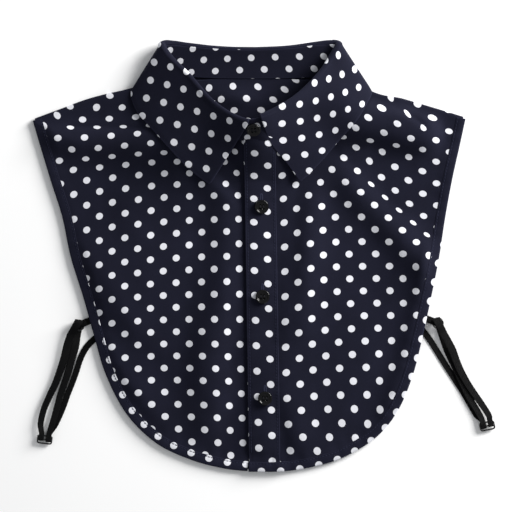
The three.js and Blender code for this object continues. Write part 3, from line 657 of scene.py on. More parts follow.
# %% Where the print lies on each piece
PRINTS = {  # centre in mm, degree, and steps for 1, y, y*y and on, x, x*y and on, in units of 100 mm
    "right_front": ((-83, -20), 4, [
        (9.281, 7.352), (-4.996, -4.977), (-0.042, 0.143), (-0.08, -0.129), (-0.051, -0.139),
        (5.028, -4.457), (0.311, 0.36), (-0.107, -0.033), (-0.037, -0.253), (-0.325, -0.314),
        (0.164, 0.024), (0.192, -0.35), (0.192, -0.084), (-0.195, -0.488), (0.163, 0.026)]),
    "left_front": ((77, -13), 4, [
        (5.957, 9.331), (-4.856, -5.239), (-0.172, -0.224), (0.087, 0.064), (-0.004, -0.01),
        (4.648, -4.682), (-0.304, -0.72), (-0.209, -0.319), (0.065, 0.303), (-0.602, -0.122),
        (-0.561, -0.017), (-0.082, -0.416), (0.46, 0.357), (-0.023, 0.663), (0.496, -0.372)]),
    "placket": ((4.4, -44.1), 3, [
        (-0.005, -0.027), (-4.775, -5.016), (-0.167, -0.093), (-0.083, -0.012), (4.268, -4.895),
        (-0.179, -0.148), (0, 0), (0, 0), (0, 0), (0, 0)]),
    "right_leaf": ((-62, 121), 2, [
        (1.414, 2.898), (-1.152, -6.603), (0.027, 0.062), (7.053, -1.783), (1.174, -0.434),
        (0.696, -0.314)]),
    "left_leaf": ((47, 113), 3, [
        (-1.764, 2.98), (0.783, -7.074), (-0.676, 0.667), (1.507, 0.714), (7.333, 1.674),
        (2.562, -0.026), (3.198, 2.018), (1.098, 1.635), (-0.767, -1.728), (0.18, 0.096)]),
    "stand_inside": ((-9, 158), 2, [
        (3.219, -2.869), (-4.768, -5.426), (0, 0), (5.214, -4.886), (1.635, -1.205), (-0.267, -0.003)]),
    "back_inside": ((-3, 131), 2, [
        (2.357, -1.704), (-4.548, -5.903), (2.203, 0.77), (4.384, -4.939), (0.857, -2.677),
        (-1.536, -0.481)]),
}
# Sharp creases take up cloth, so the rows jump there: x1, y1, x2, y2, half width, steps of the jump
CREASES = {
    "right_front": [
        (-158.7, 105.4, -95, 103.7, 1.8, 0.075, 0.118),
        (-152, 77.5, -74, 85, 5, 0.064, 0.106),
        (-184, 107, -112, 126, 3.5, -0.024, -0.092),
    ],
    "left_front": [
        (88, 58, 136, 14, 5, 0.061, 0.259),
        (60, 96, 118, 88, 3, 0.118, 0.063),
        (108, 122, 130, 107, 2, -0.131, 0.103),
    ],
}


def crease_jump(crease, x, y):
    *line, half_width, along_first, along_second = crease
    across, past = beside_line(line, x, y)
    fade = np.exp(-((past / 10) ** 2) - (across / 40) ** 2)
    return np.multiply.outer(np.tanh(across / half_width) * fade, np.array([along_first, along_second]))


def print_at(piece, p):
    """The lattice steps of points on a piece, from where the camera sees them."""
    centre, degree, rows = PRINTS[piece]
    seen = in_photo(p)
    x, y = np.moveaxis((seen - centre) / 100, -1, 0)
    powers = [(i, j) for i in range(degree + 1) for j in range(degree + 1 - i)]
    rows = [np.array(row, float) for row in rows]
    steps = sum(np.multiply.outer(x**i * y**j, row) for (i, j), row in zip(powers, rows))
    x, y = np.moveaxis(seen, -1, 0)
    return steps + sum(crease_jump(crease, x, y) for crease in CREASES.get(piece, []))


ALONG_LATTICE = LATTICE * np.sqrt(2)  # mm, from dot to dot along the threads


def print_on_bias(along, across):
    """Lattice steps of a strip that is cut straight on the cloth, from mm along and across it."""
    return np.stack([(across + along) / ALONG_LATTICE, (across - along) / ALONG_LATTICE], -1)


print("prints for", list(PRINTS))

# %% [markdown]
# Every piece becomes a mesh in the same last step. Blender can make meshes with its own tools, but
# here each point has a worked-out place in mm, so the mesh is made from lists of points and
# faces. The step also turns the faces outwards, by the sign of the volume, lays the map, gives
# the finish and lets the piece ride on the CAD body.

# %% From points to a piece
BODY = "root"
MM3_IN_CM3 = 1000


def build(name, points, quads, corner_map, material, map_name, worn=None, caps=()):
    """A mesh object from points in mm, with its map, finish and body."""
    a, b, c, d = (points[quads[:, k]] for k in range(4))
    volume = (np.einsum("ij,ij->", a, np.cross(b, c)) + np.einsum("ij,ij->", a, np.cross(c, d))) / 6
    for cap in caps:
        for k in range(1, len(cap) - 1):
            volume += points[cap[0]] @ np.cross(points[cap[k]], points[cap[k + 1]]) / 6
    if volume < 0:
        quads, corner_map = quads[:, ::-1], corner_map[:, ::-1]
        caps = [cap[::-1] for cap in caps]
    mesh = bpy.data.meshes.new(name)
    faces = quads.tolist() + [list(map(int, cap)) for cap in caps]
    mesh.from_pydata((points * MM).tolist(), [], faces)
    cap_map = np.zeros((sum(len(cap) for cap in caps), 2))
    whole_map = np.concatenate([corner_map.reshape(-1, 2), cap_map]).astype(np.float32)
    mesh.uv_layers.new(name=map_name).uv.foreach_set("vector", whole_map.ravel())
    if worn is not None:
        attribute = mesh.attributes.new("worn", "FLOAT", "POINT")
        attribute.data.foreach_set("value", worn.astype(np.float32).ravel())
    mesh.shade_smooth()
    mesh.materials.append(material)
    piece = bpy.data.objects.new(name, mesh)
    bpy.context.scene.collection.objects.link(piece)
    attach(piece, BODY)
    print(name, "has", len(points), "points, volume", round(abs(volume) / MM3_IN_CM3, 2), "cm3")
    return piece


# %% [markdown]
# Cloth has a front, a back and a soft edge. A thickness modifier would do for a plain sheet, but
# here the thickness and the map change from place to place. So a grid of middle points is closed
# into a sheet, with rows of points round its rim.

# %% Sheets of cloth
RIM_ANGLES = np.radians([67.5, 40, 0, -40, -67.5])
WORN_RIM, WORN_EDGE = 1.0, 0.8


def cloth(name, middle, thickness, maps, region=None):
    """A closed sheet on a grid of middle points. region says which of the maps a column uses."""
    rows, columns = middle.shape[:2]
    count = rows * columns
    normal = unit(np.cross(np.gradient(middle, axis=1), np.gradient(middle, axis=0))).reshape(-1, 3)
    half = np.broadcast_to(np.asarray(thickness, float) / 2, (rows, columns)).reshape(-1, 1)
    middle = middle.reshape(-1, 3)
    # The loop of points round the rim, each with its neighbour inside it
    index = np.arange(count).reshape(rows, columns)
    loop = np.concatenate([index[0, :-1], index[:-1, -1], index[-1, :0:-1], index[:0:-1, 0]])
    r, c = np.divmod(loop, columns)
    inner = np.clip(r, 1, rows - 2) * columns + np.clip(c, 1, columns - 2)
    edge, n, h = middle[loop], normal[loop], half[loop]
    outward = edge - middle[inner]
    outward -= (outward * n).sum(1, keepdims=True) * n
    step = np.linalg.norm(outward, axis=1, keepdims=True)
    outward = outward / step
    rims = [edge + h * (outward * np.cos(a) + n * np.sin(a)) for a in RIM_ANGLES]
    points = np.vstack([middle + half * normal, middle - half * normal, *rims])
    full_maps = []
    for m in maps:
        m = m.reshape(-1, 2)
        per_mm = (m[loop] - m[inner]) / step
        rim_maps = [m[loop] + per_mm * h * 1.2 * np.cos(a) for a in RIM_ANGLES]
        full_maps.append(np.vstack([m, m, *rim_maps]))
    around = len(loop)
    top = np.stack([index[:-1, :-1], index[:-1, 1:], index[1:, 1:], index[1:, :-1]], -1).reshape(-1, 4)
    rim_rings = [2 * count + k * around + np.arange(around) for k in range(len(RIM_ANGLES))]
    rings = [loop, *rim_rings, loop + count]
    sides = [np.stack([a, b, np.roll(b, -1), np.roll(a, -1)], -1) for a, b in zip(rings[:-1], rings[1:])]
    quads = np.vstack([top, top[:, ::-1] + count, *sides])
    if region is None:
        region = np.zeros(columns, int)
    side_columns = np.minimum(c, np.roll(c, -1))
    face_columns = np.concatenate([top[:, 0] % columns] * 2 + [side_columns] * len(sides))
    chosen = region[np.minimum(face_columns, columns - 2)]
    corner_map = np.stack(full_maps)[chosen[:, None], quads]
    worn = np.zeros(len(points))
    worn[loop] = worn[loop + count] = WORN_EDGE
    worn[2 * count :] = WORN_RIM
    return build(name, points, quads, corner_map, cotton, "print", worn)


# %% [markdown]
# Bindings, straps, wires and threads are long and have one section. Blender's curves can carry a
# section along a path, but not one that changes or lies just so on the cloth. So rings of points
# are joined in order, and the ends are closed, or the last ring is joined to the first.

# %% Strips and tubes
def strip(name, rings, laid, material, map_name="run", closed=False, worn=None):
    """A strip, tube or ring from closed rings of points. laid has one more column than the rings."""
    count, around = rings.shape[:2]
    index = np.arange(count * around).reshape(count, around)
    nexts = np.roll(index, -1, axis=1)
    ends = slice(None, None if closed else -1)
    ahead, ahead_next = np.roll(index, -1, axis=0)[ends], np.roll(nexts, -1, axis=0)[ends]
    quads = np.stack([index[ends], nexts[ends], ahead_next, ahead], -1).reshape(-1, 4)
    corner_map = np.stack([laid[:-1, :-1], laid[:-1, 1:], laid[1:, 1:], laid[1:, :-1]], 2)
    caps = [] if closed else [index[0, ::-1], index[-1]]
    corner_map = corner_map.reshape(-1, 4, 2)
    return build(name, rings.reshape(-1, 3), quads, corner_map, material, map_name, worn, caps)


def run_of(path):
    """How far along each point of a path is, in mm."""
    return np.concatenate([[0], np.cumsum(np.linalg.norm(np.diff(path, axis=0), axis=1))])


def with_height(plan, height):
    """Places on the table with a height, as points."""
    return np.concatenate([plan, np.broadcast_to(height, plan.shape[:-1])[..., None]], -1)


def rings_along(path, outwards, half_wide, half_high, around=12, closed=True):
    """Oval rings round a path: half_wide lies in the surface and half_high stands out of it."""
    if closed:
        ahead = unit(np.roll(path, -1, axis=0) - np.roll(path, 1, axis=0))
    else:
        ahead = unit(np.gradient(path, axis=0))
    across = unit(np.cross(outwards, ahead))
    over = np.cross(ahead, across)
    angle = full_turn(around)[:, None]
    wide, high = (np.broadcast_to(h, len(path))[:, None, None] for h in (half_wide, half_high))
    return path[:, None] + across[:, None] * np.cos(angle) * wide + over[:, None] * np.sin(angle) * high


def laid_along(rings, closed=True):
    """The map of a tube in mm: along it and round it."""
    middle = rings.mean(1)
    if closed:
        middle = np.concatenate([middle, middle[:1]])
    round_it = np.linalg.norm(np.diff(rings[0], axis=0), axis=1).sum()
    around = np.linspace(0, round_it, rings.shape[1] + 1)
    return np.stack(np.broadcast_arrays(run_of(middle)[:, None], around), -1)


square = 10 * np.array([(0, 0), (1, 0), (1, 1), (0, 1), (0, 0)])
print("a square of 10 mm measures", run_of(square)[-1], "mm round")

# %% [markdown]
# The collar goes once round the neck, so its lines are one table with a row for each station:
# where the neck seam is, where the leaf rolls over, and where its edge lies. It starts at the
# right point of the leaf, goes round the back and ends at the left point.

# %% The collar's lines round the neck
SEAM_RISE, EDGE_RISE = 0.85, 2.2  # mm over the front
COLLAR = [  # seam x, y, z, roll x, y, z, edge x, y, z, and lift. A z of None lies on the front
    (4.5, 94.2, None, 3.5, 109, 34.8, -30, 50, None, 0),
    (-18.5, 94.7, None, -12.8, 107.9, 35, -44.1, 57.7, None, 0),
    (-34, 98, None, -29, 114.5, 31, -61, 70.3, None, 0),
    (-51, 108.5, None, -44.5, 126.3, 25.5, -76.7, 86.7, None, 0),
    (-66, 122, None, -59.5, 143.6, 19, -91.7, 103.5, None, 0),
    (-77, 134.5, None, -73.4, 158.2, 13, -103.8, 117.6, None, 0.7),
    (-82.5, 143.5, 4.2, -80.6, 170, 9.4, -108.2, 133.6, 4.6, 0),
    (-76, 147.5, 2.9, -73, 170.8, 7.4, -98, 139, 0.55, 0),
    (-62, 146, 2.6, -60, 169, 7, -77, 126, 0.5, 0),
    (-38, 144.8, 2.6, -36, 166.4, 7, -43, 121, 0.5, 0),
    (-8, 144.5, 2.6, -8, 165.6, 7, -8, 120, 0.5, 0),
    (22, 144.8, 2.6, 20, 166.9, 7, 27, 121, 0.5, 0),
    (45, 146, 2.6, 42, 170, 7, 60, 126, 0.5, 0),
    (58, 147.5, 2.9, 53, 171.3, 7.4, 80, 138, 0.55, 0),
    (64, 143.5, 4.2, 59, 170, 9.4, 88.4, 133.4, 4.6, 0),
    (60.5, 134.5, None, 53.4, 158.6, 13, 83, 121, None, 0.5),
    (50.5, 122.5, None, 44, 144.6, 19, 75, 108.5, None, 0),
    (37, 110.5, None, 28.3, 128.8, 25.5, 60, 91.4, None, 0),
    (20, 100.5, None, 12, 118, 31.5, 45.5, 74.6, None, 0),
    (2.5, 93.6, None, -2.2, 111.2, 36.5, 30.2, 59.8, None, 1.6),
    (-20, 93.2, None, -18.5, 108, 36.5, 15, 50, None, 1.6),
]
LAST_STATION = len(COLLAR) - 1
RIGHT_NECK_POINT, LEFT_NECK_POINT, PLACKET_SEAM = 6, 14, 18.59  # stations on the neck seam


def on_front(x, y, z, rise):
    """A point over the front and over its folds' dips, since the collar is stiff and bridges them."""
    if z is None:
        p = np.array([x, y], float)
        z = float(max(front_height(p), front_height(p, folded=0.0))) + rise
    return (x, y, z)


seam_line = through([on_front(*row[0:3], SEAM_RISE + row[9]) for row in COLLAR])
roll_line = through([row[3:6] for row in COLLAR])
edge_line = through([on_front(*row[6:9], EDGE_RISE) for row in COLLAR])
print("neck seam, mm:", round(float(run_of(seam_line(np.linspace(0, LAST_STATION, 400)))[-1])))

# %% [markdown]
# Each front panel is a sheet stretched between four lines: the neck seam and the shoulder at the
# top, the hem, the edge under the placket, and the armhole. At the shoulder the cloth folds over
# to the back, so a few rows are put on there that turn down and under.

# %% Front panels
UNDER_BINDING = 2.5  # mm from the outline to the panel's own edge, inside the binding
UNDER_STAND = 0.8  # mm that the panel goes in under the stand
PANEL_THICKNESS = 1.0  # mm, full as two layers of cloth look
SHOULDER_TURN = np.radians([165, 135, 105, 75, 50, 25])
NECK_MIDDLE = np.array([-8.0, 150.0])
PANEL_COLUMNS, PANEL_ROWS = 150, 130


def panel_top(u, first_station, neck_point, shoulder):
    seam = seam_line(mix(first_station, neck_point, np.clip(2 * u, 0, 1)))[..., :2]
    seam = seam - UNDER_STAND * unit(seam - NECK_MIDDLE)
    along = shoulder(np.clip(2 * u - 1, 0, 1) * (len(RIGHT_SHOULDER) - 1))
    return np.where((u >= 0.5)[..., None], along, seam)


def front_panel(name, first_station, neck_point, shoulder, outline, inwards, hem_end):
    u = np.linspace(0, 1, PANEL_COLUMNS) ** 0.9
    v = np.linspace(0, 1, PANEL_ROWS)[:, None, None]
    top = panel_top(u * 0.992, first_station, neck_point, shoulder)
    bottom = inset(outline, mix(hem_end, SIDE_ROWS, u), UNDER_BINDING, inwards)
    outer = inset(outline, v[:, 0, 0] * SIDE_ROWS, UNDER_BINDING, inwards)[:, None]
    w = u[:, None]
    plan = top * (1 - v) + bottom * v + outer * w - top[-1] * w * (1 - v) - bottom[-1] * w * v
    grid = with_height(plan, front_height(plan))
    # The rows that turn down at the shoulder
    away = unit(plan[0] - plan[2])
    drop = mix(0.3, (grid[0, :, 2] - 0.8) / 2, smooth((u - 0.5) / 0.03))[:, None]
    turned = []
    for angle in SHOULDER_TURN:
        place = plan[0] + away * drop * np.sin(angle)
        turned.append(np.concatenate([place, grid[0, :, 2:] - drop * (1 - np.cos(angle))], -1))
    grid = np.concatenate([turned, grid])
    return cloth(name, grid, PANEL_THICKNESS, [print_at(name, grid)])


right_front = front_panel(
    "right_front", 0, RIGHT_NECK_POINT, right_shoulder, right_outline, 1, len(RIGHT_OUTLINE) - 1
)
left_front = front_panel(
    "left_front", PLACKET_SEAM + 0.11, LEFT_NECK_POINT, left_shoulder, left_outline, -1,
    len(LEFT_OUTLINE) - 1.9,
)
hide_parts("front_right_panel")
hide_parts("front_left_panel")

# %% [markdown]
# The back is a plain sheet that lies on the table. Only its inside shows, through the neck. It is
# drawn between its own four lines, 5 mm inside the front's outline.

# %% Back panel
BACK_INSET = 5.0  # mm inside the front's outline
BACK_HEIGHT, BACK_ON_LEAF, BACK_THICKNESS = 0.5, 1.35, 0.9  # mm
BACK_START = 0.28  # rows of the outline that the shoulder takes off
HEM_START = 0.33  # where the right side turns into the hem
TOP_START = 0.45  # rows of the top that the side takes off
BACK_TOP = [
    (-183, 104.5), (-162, 113), (-138, 121), (-112, 128.5), (-86, 138.5), (-66, 143.6),
    (-38, 145.6), (-8, 145.6), (24, 145.6), (50, 143.6), (69, 137.5), (94, 125), (116, 119.5),
    (139, 112.5), (159.5, 106),
]
SWELL = {"x": -22, "y": 128, "height": 3.2, "reach_x": 17, "reach_y": 8}  # in the neck
back_top = through(BACK_TOP)


def back_edge(along, distance):
    """The back's outline, first down the right side and then up the left."""
    along = np.asarray(along, float)
    rows = len(RIGHT_OUTLINE) - 2
    down = inset(right_outline, mix(BACK_START, rows, np.clip(2 * along, 0, 1)), distance, 1)
    up = inset(left_outline, mix(rows + 1, BACK_START, np.clip(2 * along - 1, 0, 1)), distance, -1)
    return np.where((along < 0.5)[..., None], down, up)


def back_grid(columns, rows, side):
    u = np.linspace(0, 1, columns)
    v = np.linspace(0, 1, rows) ** 1.5
    left, right = (back_edge(at, side)[:, None] for at in (v * HEM_START, 1 - v * HEM_START))
    top = back_top(mix(TOP_START, len(BACK_TOP) - 1 - TOP_START, u))
    hem = back_edge(mix(HEM_START, 1 - HEM_START, u), side)
    w, down = u[:, None], v[:, None, None]
    p = top * (1 - down) + hem * down + left * (1 - w) + right * w
    p = p - top[0] * (1 - w) * (1 - down) - top[-1] * w * (1 - down)
    return p - hem[0] * (1 - w) * down - hem[-1] * w * down


plan = back_grid(110, 90, BACK_INSET + UNDER_BINDING)
inner_waves = 0.35 * np.abs(ripples(1.7 * plan)) * smooth((plan[..., 1] - 100) / 12)
off_x = (plan[..., 0] - SWELL["x"]) / SWELL["reach_x"]
off_y = (plan[..., 1] - SWELL["y"]) / SWELL["reach_y"]
swell = SWELL["height"] * np.exp(-(off_x**2) - off_y**2)
back_height = BACK_HEIGHT + BACK_ON_LEAF * over_leaf(plan) + inner_waves + swell
back_middle = with_height(plan, back_height)
back = cloth("back", back_middle, BACK_THICKNESS, [print_at("back_inside", back_middle)])
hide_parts("back_panel")

# %% [markdown]
# The armholes and the hem are bound: a strip of the same cloth, cut on the bias, folded round the
# raw edge and sewn down. Its section is a flat loop, full and round at the outer fold and pulled
# in at the row of stitches. Bias cloth has its dots in rows along the strip, and where a row
# falls on the strip changes as it goes round, so a table says where the row lies.

# %% Bindings
TOP_OF_BINDING = [  # fraction of the width from the outer fold, height over the cloth's middle in mm
    (0.0, 0.0), (0.02, 0.42), (0.07, 0.68), (0.16, 0.86), (0.32, 0.92), (0.5, 0.93), (0.64, 0.86),
    (0.74, 0.7), (0.79, 0.62), (0.84, 0.7), (0.92, 0.76), (0.975, 0.62),
]
FOOT_OF_BINDING = [(0.985, -0.3), (0.9, -0.66), (0.6, -0.7), (0.3, -0.7), (0.1, -0.6), (0.03, -0.35)]
SECTION = np.array(TOP_OF_BINDING + FOOT_OF_BINDING)
SEWN_AT = SECTION[8]
WORN_ACROSS = ([0, 0.05, 0.2, 1], [1, 0.8, 0, 0.3])  # fraction of the width, and how worn
BIAS_STEP = 15.9  # mm from dot to dot along the stretched strip


def bound_edge(name, node_name, outer, inwards, height_of, width_of, dots_of, dot_place):
    """A binding with its outer fold along a line. dots_of says where the row of dots lies on it."""
    run = run_of(outer)
    run = run - run[np.linalg.norm(outer - dot_place, axis=1).argmin()]
    width = width_of(outer)[:, None]
    plan = outer[:, None] + inwards[:, None] * (SECTION[:, 0] * width)[..., None]
    rings = with_height(plan, height_of(plan) + SECTION[:, 1] * (1 + 0.12 * pucker(run * 1.6)[:, None]))
    step = np.linalg.norm(np.diff(rings, axis=1, append=rings[:, :1]), axis=-1)
    round_it = np.concatenate([np.zeros((len(outer), 1)), np.cumsum(step, axis=1)], 1)
    across_rows = (round_it - dots_of(outer)[:, None]) / LATTICE
    laid = np.stack(np.broadcast_arrays(run[:, None] / BIAS_STEP, across_rows), -1)
    worn = np.broadcast_to(np.interp(SECTION[:, 0], *WORN_ACROSS), rings.shape[:2])
    piece = strip(name, rings, laid, cotton, "print", worn=worn.ravel())
    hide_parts(node_name)
    sewn_line = outer + inwards * SEWN_AT[0] * width
    return piece, with_height(sewn_line, height_of(sewn_line) + SEWN_AT[1])


def edge_of(outline, last_row, inwards, count):
    """Places along a bound edge, and the way into the cloth at each."""
    rows = np.linspace(0, 1, count) * last_row
    return outline(rows), into_cloth(outline, rows, inwards)


def by_height(*rows):
    """A value that changes with y, for the places along a binding, from rows of (y, value)."""
    ys, values = zip(*sorted(rows))

    def value_at(p):
        return np.interp(p[..., 1], ys, values)

    return value_at


def over_placket_foot(p):
    """The left binding lies on the foot of the placket and on the right binding's end."""
    return front_height(p) + 1.3 * smooth((24 - p[..., 0]) / 10)


def on_back(p):
    return np.full(p.shape[:-1], 0.78)


right_widths = by_height(
    (120, 7.8), (0, 8), (-60, 7.9), (-100, 7.6), (-125, 8.2), (-150, 8.5), (-180, 8.3)
)
right_dots = by_height(
    (120, 11.4), (0, 11.2), (-42, 10.4), (-57, 9.8), (-73, 8.7), (-87, 7.5), (-101, 6.8),
    (-115, 6.1), (-140, 5.8), (-180, 6),
)
left_dots = by_height((120, -3.4), (20, -3.2), (-8, 0.4), (-100, 0.8), (-180, 1.0))
right_binding, right_sewn = bound_edge(
    "right_binding", "front_right_binding", *edge_of(right_outline, len(RIGHT_OUTLINE) - 2, 1, 430),
    front_height, right_widths, right_dots, (-107.4, -128),
)
left_binding, left_sewn = bound_edge(
    "left_binding", "front_left_binding", *edge_of(left_outline, len(LEFT_OUTLINE) - 1, -1, 450),
    over_placket_foot, by_height((120, 7.8), (-180, 8.2)), left_dots, (121, -100),
)
round_back = np.linspace(0, 1, 560)
back_fold = back_edge(round_back, BACK_INSET)
back_inwards = unit(back_edge(round_back, BACK_INSET + 4) - back_fold)
back_binding, back_sewn = bound_edge(
    "back_edge_binding", "back_binding", back_fold, back_inwards,
    on_back, by_height((120, 8), (-180, 8)), by_height((120, 11), (-180, 9)), (0, -170),
)

# %% [markdown]
# The button placket is a folded strip on the left front, and it laps over the right one. Its free
# edge on the left stands up a little and throws the dark line down the front. Its other side is
# sewn down, so it is low there.

# %% Placket
def placket_rise(across, along):
    """Middle of the placket over the middle of the front, from the free edge to the sewn one."""
    sewn = smooth((across + 8) / 20)
    return mix(mix(2.0, 0.95, sewn), 0.9, smooth((along - 0.96) / 0.03))


def on_placket(along, across):
    """A point on the placket: along is 0 at its top and 1 at its foot, and across is in mm."""
    middle = PLACKET_TOP + (PLACKET_FOOT - PLACKET_TOP) * np.asarray(along, float)[..., None]
    p = middle + np.stack(np.broadcast_arrays(across, 0.0), -1)
    return with_height(p, front_height(p) + placket_rise(p[..., 0] - middle[..., 0], along))


PLACKET_START, PLACKET_END = -0.006, 1.009  # its foot goes in under the hem's binding
SEWN_ACROSS = 10.8  # mm from the placket's middle to each row of stitches

down, side = np.meshgrid(
    np.linspace(PLACKET_START, PLACKET_END, 262), np.linspace(-0.5, 0.5, 30), indexing="ij"
)
placket_middle = on_placket(down, side * PLACKET_WIDTH)
placket_middle[..., 2] -= 0.16 * bell(np.abs(side) * PLACKET_WIDTH - SEWN_ACROSS, 0.7)
placket_thickness = mix(1.4, 0.8, smooth((side + 0.1) / 0.5)) * mix(1, 0.7, smooth((down - 0.95) / 0.04))
placket = cloth("placket", placket_middle, placket_thickness, [print_at("placket", placket_middle)])
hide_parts("front_placket")

# %% [markdown]
# The stand is a stiff band from the neck seam up to the roll. It is seen from inside at the back,
# and from outside only in the gap between the leaf's two points. Its two ends cross there.

# %% Stand
BACK_MIDDLE_STATION = 10
STAND_LIFT = 1.7  # mm that the stand reaches further at the middle of the back
STAND_THICKNESS, STAND_BOW = 1.2, 0.5  # mm


def near_back(station):
    """1 at the middle of the back, and 0 from three stations and a half away."""
    return smooth((3.4 - np.abs(station - BACK_MIDDLE_STATION)) / 3.2)


def stand_frame(station):
    """The way up the stand and the way out of it."""
    up = unit(roll_line(station) - seam_line(station))
    ahead = roll_line(station + 0.1) - roll_line(station - 0.1)
    return up, unit(np.cross(up, ahead))


station = np.linspace(0, LAST_STATION, 300)
up, out = stand_frame(station)
seam = seam_line(station)
top = roll_line(station) + up * (STAND_LIFT * near_back(station))[:, None]
rise = np.linspace(0, 1, 24)[:, None, None]
bow = STAND_BOW * np.sin(np.pi * rise) + 0.12 * np.sin(station * 5)[:, None] * rise
stand_middle = seam * (1 - rise) + top * rise + out * bow
stand_run = np.broadcast_to(run_of(seam), stand_middle.shape[:2])
stand_up = rise[..., 0] * np.linalg.norm(top - seam, axis=1)
stand_maps = [print_on_bias(stand_run + 0.5, stand_up + 7.0), print_at("stand_inside", stand_middle)]
seen_inside = (np.abs(station - BACK_MIDDLE_STATION) < 4.2).astype(int)
stand = cloth("stand", stand_middle, STAND_THICKNESS, stand_maps, seen_inside)
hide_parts("collar_stand")

# %% [markdown]
# The leaf starts where the stand ends, goes on up, rolls over and comes down to its edge on the
# shoulders. At the back it goes down behind and lies under the back panel. Its path is a curve of
# eight points at each station, and many stations side by side make the sheet.

# %% The leaf's path
ROLL_RISE = 3.2  # mm from the roll line to the top of the roll
ROLL_OUT = [  # station, mm from the stand out to the leaf behind the roll
    (0, 3.4), (4, 3.8), (5.4, 5.6), (6.5, 6.0), (7.4, 3.6), (12.6, 3.6), (13.5, 6.0), (14.6, 5.6),
    (16, 3.8), (20, 3.4),
]
LEAF_SAG = 0.2  # part of the leaf's fall that it has lost before its middle
FRONT_BOW = np.array([-3.6, -0.6, 0.6])  # mm, the left point's front edge bows out near the neck


def leaf_path(station):
    up, out = stand_frame(station)
    roll, edge = roll_line(station), edge_line(station)
    at_back = smooth((7.5 - np.abs(station - BACK_MIDDLE_STATION)) / 3.5)
    wide = np.interp(station, *zip(*ROLL_OUT))
    start = (1.15 + 1.6 * near_back(station)) / ROLL_RISE  # it starts on the top of the stand

    def off(rise, across):
        return roll + up * (np.asarray(rise) * ROLL_RISE)[..., None] + out * (across * wide)[:, None]

    turned = off(-0.6, 1.0)
    crown = mix(1.0, 1.06, near_back(station))
    lean = FRONT_BOW * smooth(station - 17.6)[:, None]
    sag = -LEAF_SAG * (turned - edge)[:, 2:] * (1 - at_back)[:, None] * UPWARDS
    partway = mix(turned, edge, 0.36) + lean + sag
    lower = mix(turned, edge, 0.7) + 0.3 * lean + 0.72 * sag
    first = off(np.maximum(0.85, start + 0.05), 0.16)
    points = [off(start, 0), first, off(crown, 0.5), off(0.5, 0.86), turned, partway, lower, edge]
    return through(points), at_back


path, at_back = leaf_path(np.array([float(BACK_MIDDLE_STATION)]))
print("the leaf at the middle of the back: from", path(0)[0].round(1), "to", path(7)[0].round(1))

# %% [markdown]
# The sheet of the leaf needs three things more. At the back it lies flat on the table. On the
# front it may not go into the cloth, so it is kept over it. Its right and left halves and the
# part behind the neck were each printed before they were cut, so each has its own lattice.

# %% Leaf
LEAF_DOWN = np.concatenate([np.linspace(0, 4, 25)[:-1], np.linspace(4, 7, 36)])  # along the path
LEAF_REST = 0.5  # mm, the middle of the leaf where it lies on the table
OVER_FRONT = 1.4  # mm from the front's middle to the leaf's
RIGHT_LEAF_END, LEFT_LEAF_START = 6.7, 13.4  # stations
station = np.linspace(1, LAST_STATION - 1, 300)
path, at_back = leaf_path(station)
leaf_middle = np.stack([path(down) for down in LEAF_DOWN])
behind = smooth((3.75 - np.abs(station - BACK_MIDDLE_STATION)) / 0.6)
lies_flat = smooth((LEAF_DOWN - 3.7) / 0.9)[:, None] * behind
leaf_middle[..., 2] = np.maximum(LEAF_REST, mix(leaf_middle[..., 2], LEAF_REST, lies_flat))
# The leaf is a little full between its roll and its edge
full = np.sin(np.pi * np.clip((LEAF_DOWN - 4) / 3, 0, 1))[:, None] * (1 - at_back)
leaf_middle[..., 2] += full * (0.4 + 0.9 * ripples(leaf_middle[..., :2]))
lowest = np.where(at_back < 0.5, front_height(leaf_middle[..., :2]) + OVER_FRONT, 0)
leaf_middle[..., 2] = np.maximum(leaf_middle[..., 2], lowest)
leaf_run = np.broadcast_to(run_of(roll_line(station)), leaf_middle.shape[:2])
fall_steps = np.linalg.norm(np.diff(leaf_middle, axis=0, prepend=leaf_middle[:1]), axis=-1)
leaf_fall = np.cumsum(fall_steps, axis=0)
leaf_maps = [
    print_at("right_leaf", leaf_middle),
    print_on_bias(leaf_run, leaf_fall + 5.0),
    print_at("left_leaf", leaf_middle),
]
leaf_region = np.where(station < RIGHT_LEAF_END, 0, np.where(station > LEFT_LEAF_START, 2, 1))
leaf_thickness = mix(1.15, 0.7, smooth((LEAF_DOWN - 6.75) / 0.2))[:, None]  # thin at its edge
leaf = cloth("leaf", leaf_middle, leaf_thickness, leaf_maps, leaf_region)
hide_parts("collar_leaf")

# %% [markdown]
# Stitches are small, but they catch the light. Each one is a short thread that comes up out of
# the cloth and goes down again. They are laid along the lines that were kept from the bindings
# and along both sides of the placket.

# %% Stitches
STITCH_PITCH, STITCH_LENGTH, STITCH_RADIUS, STITCH_LIFT = 2.6, 2.1, 0.23, 0.16  # mm


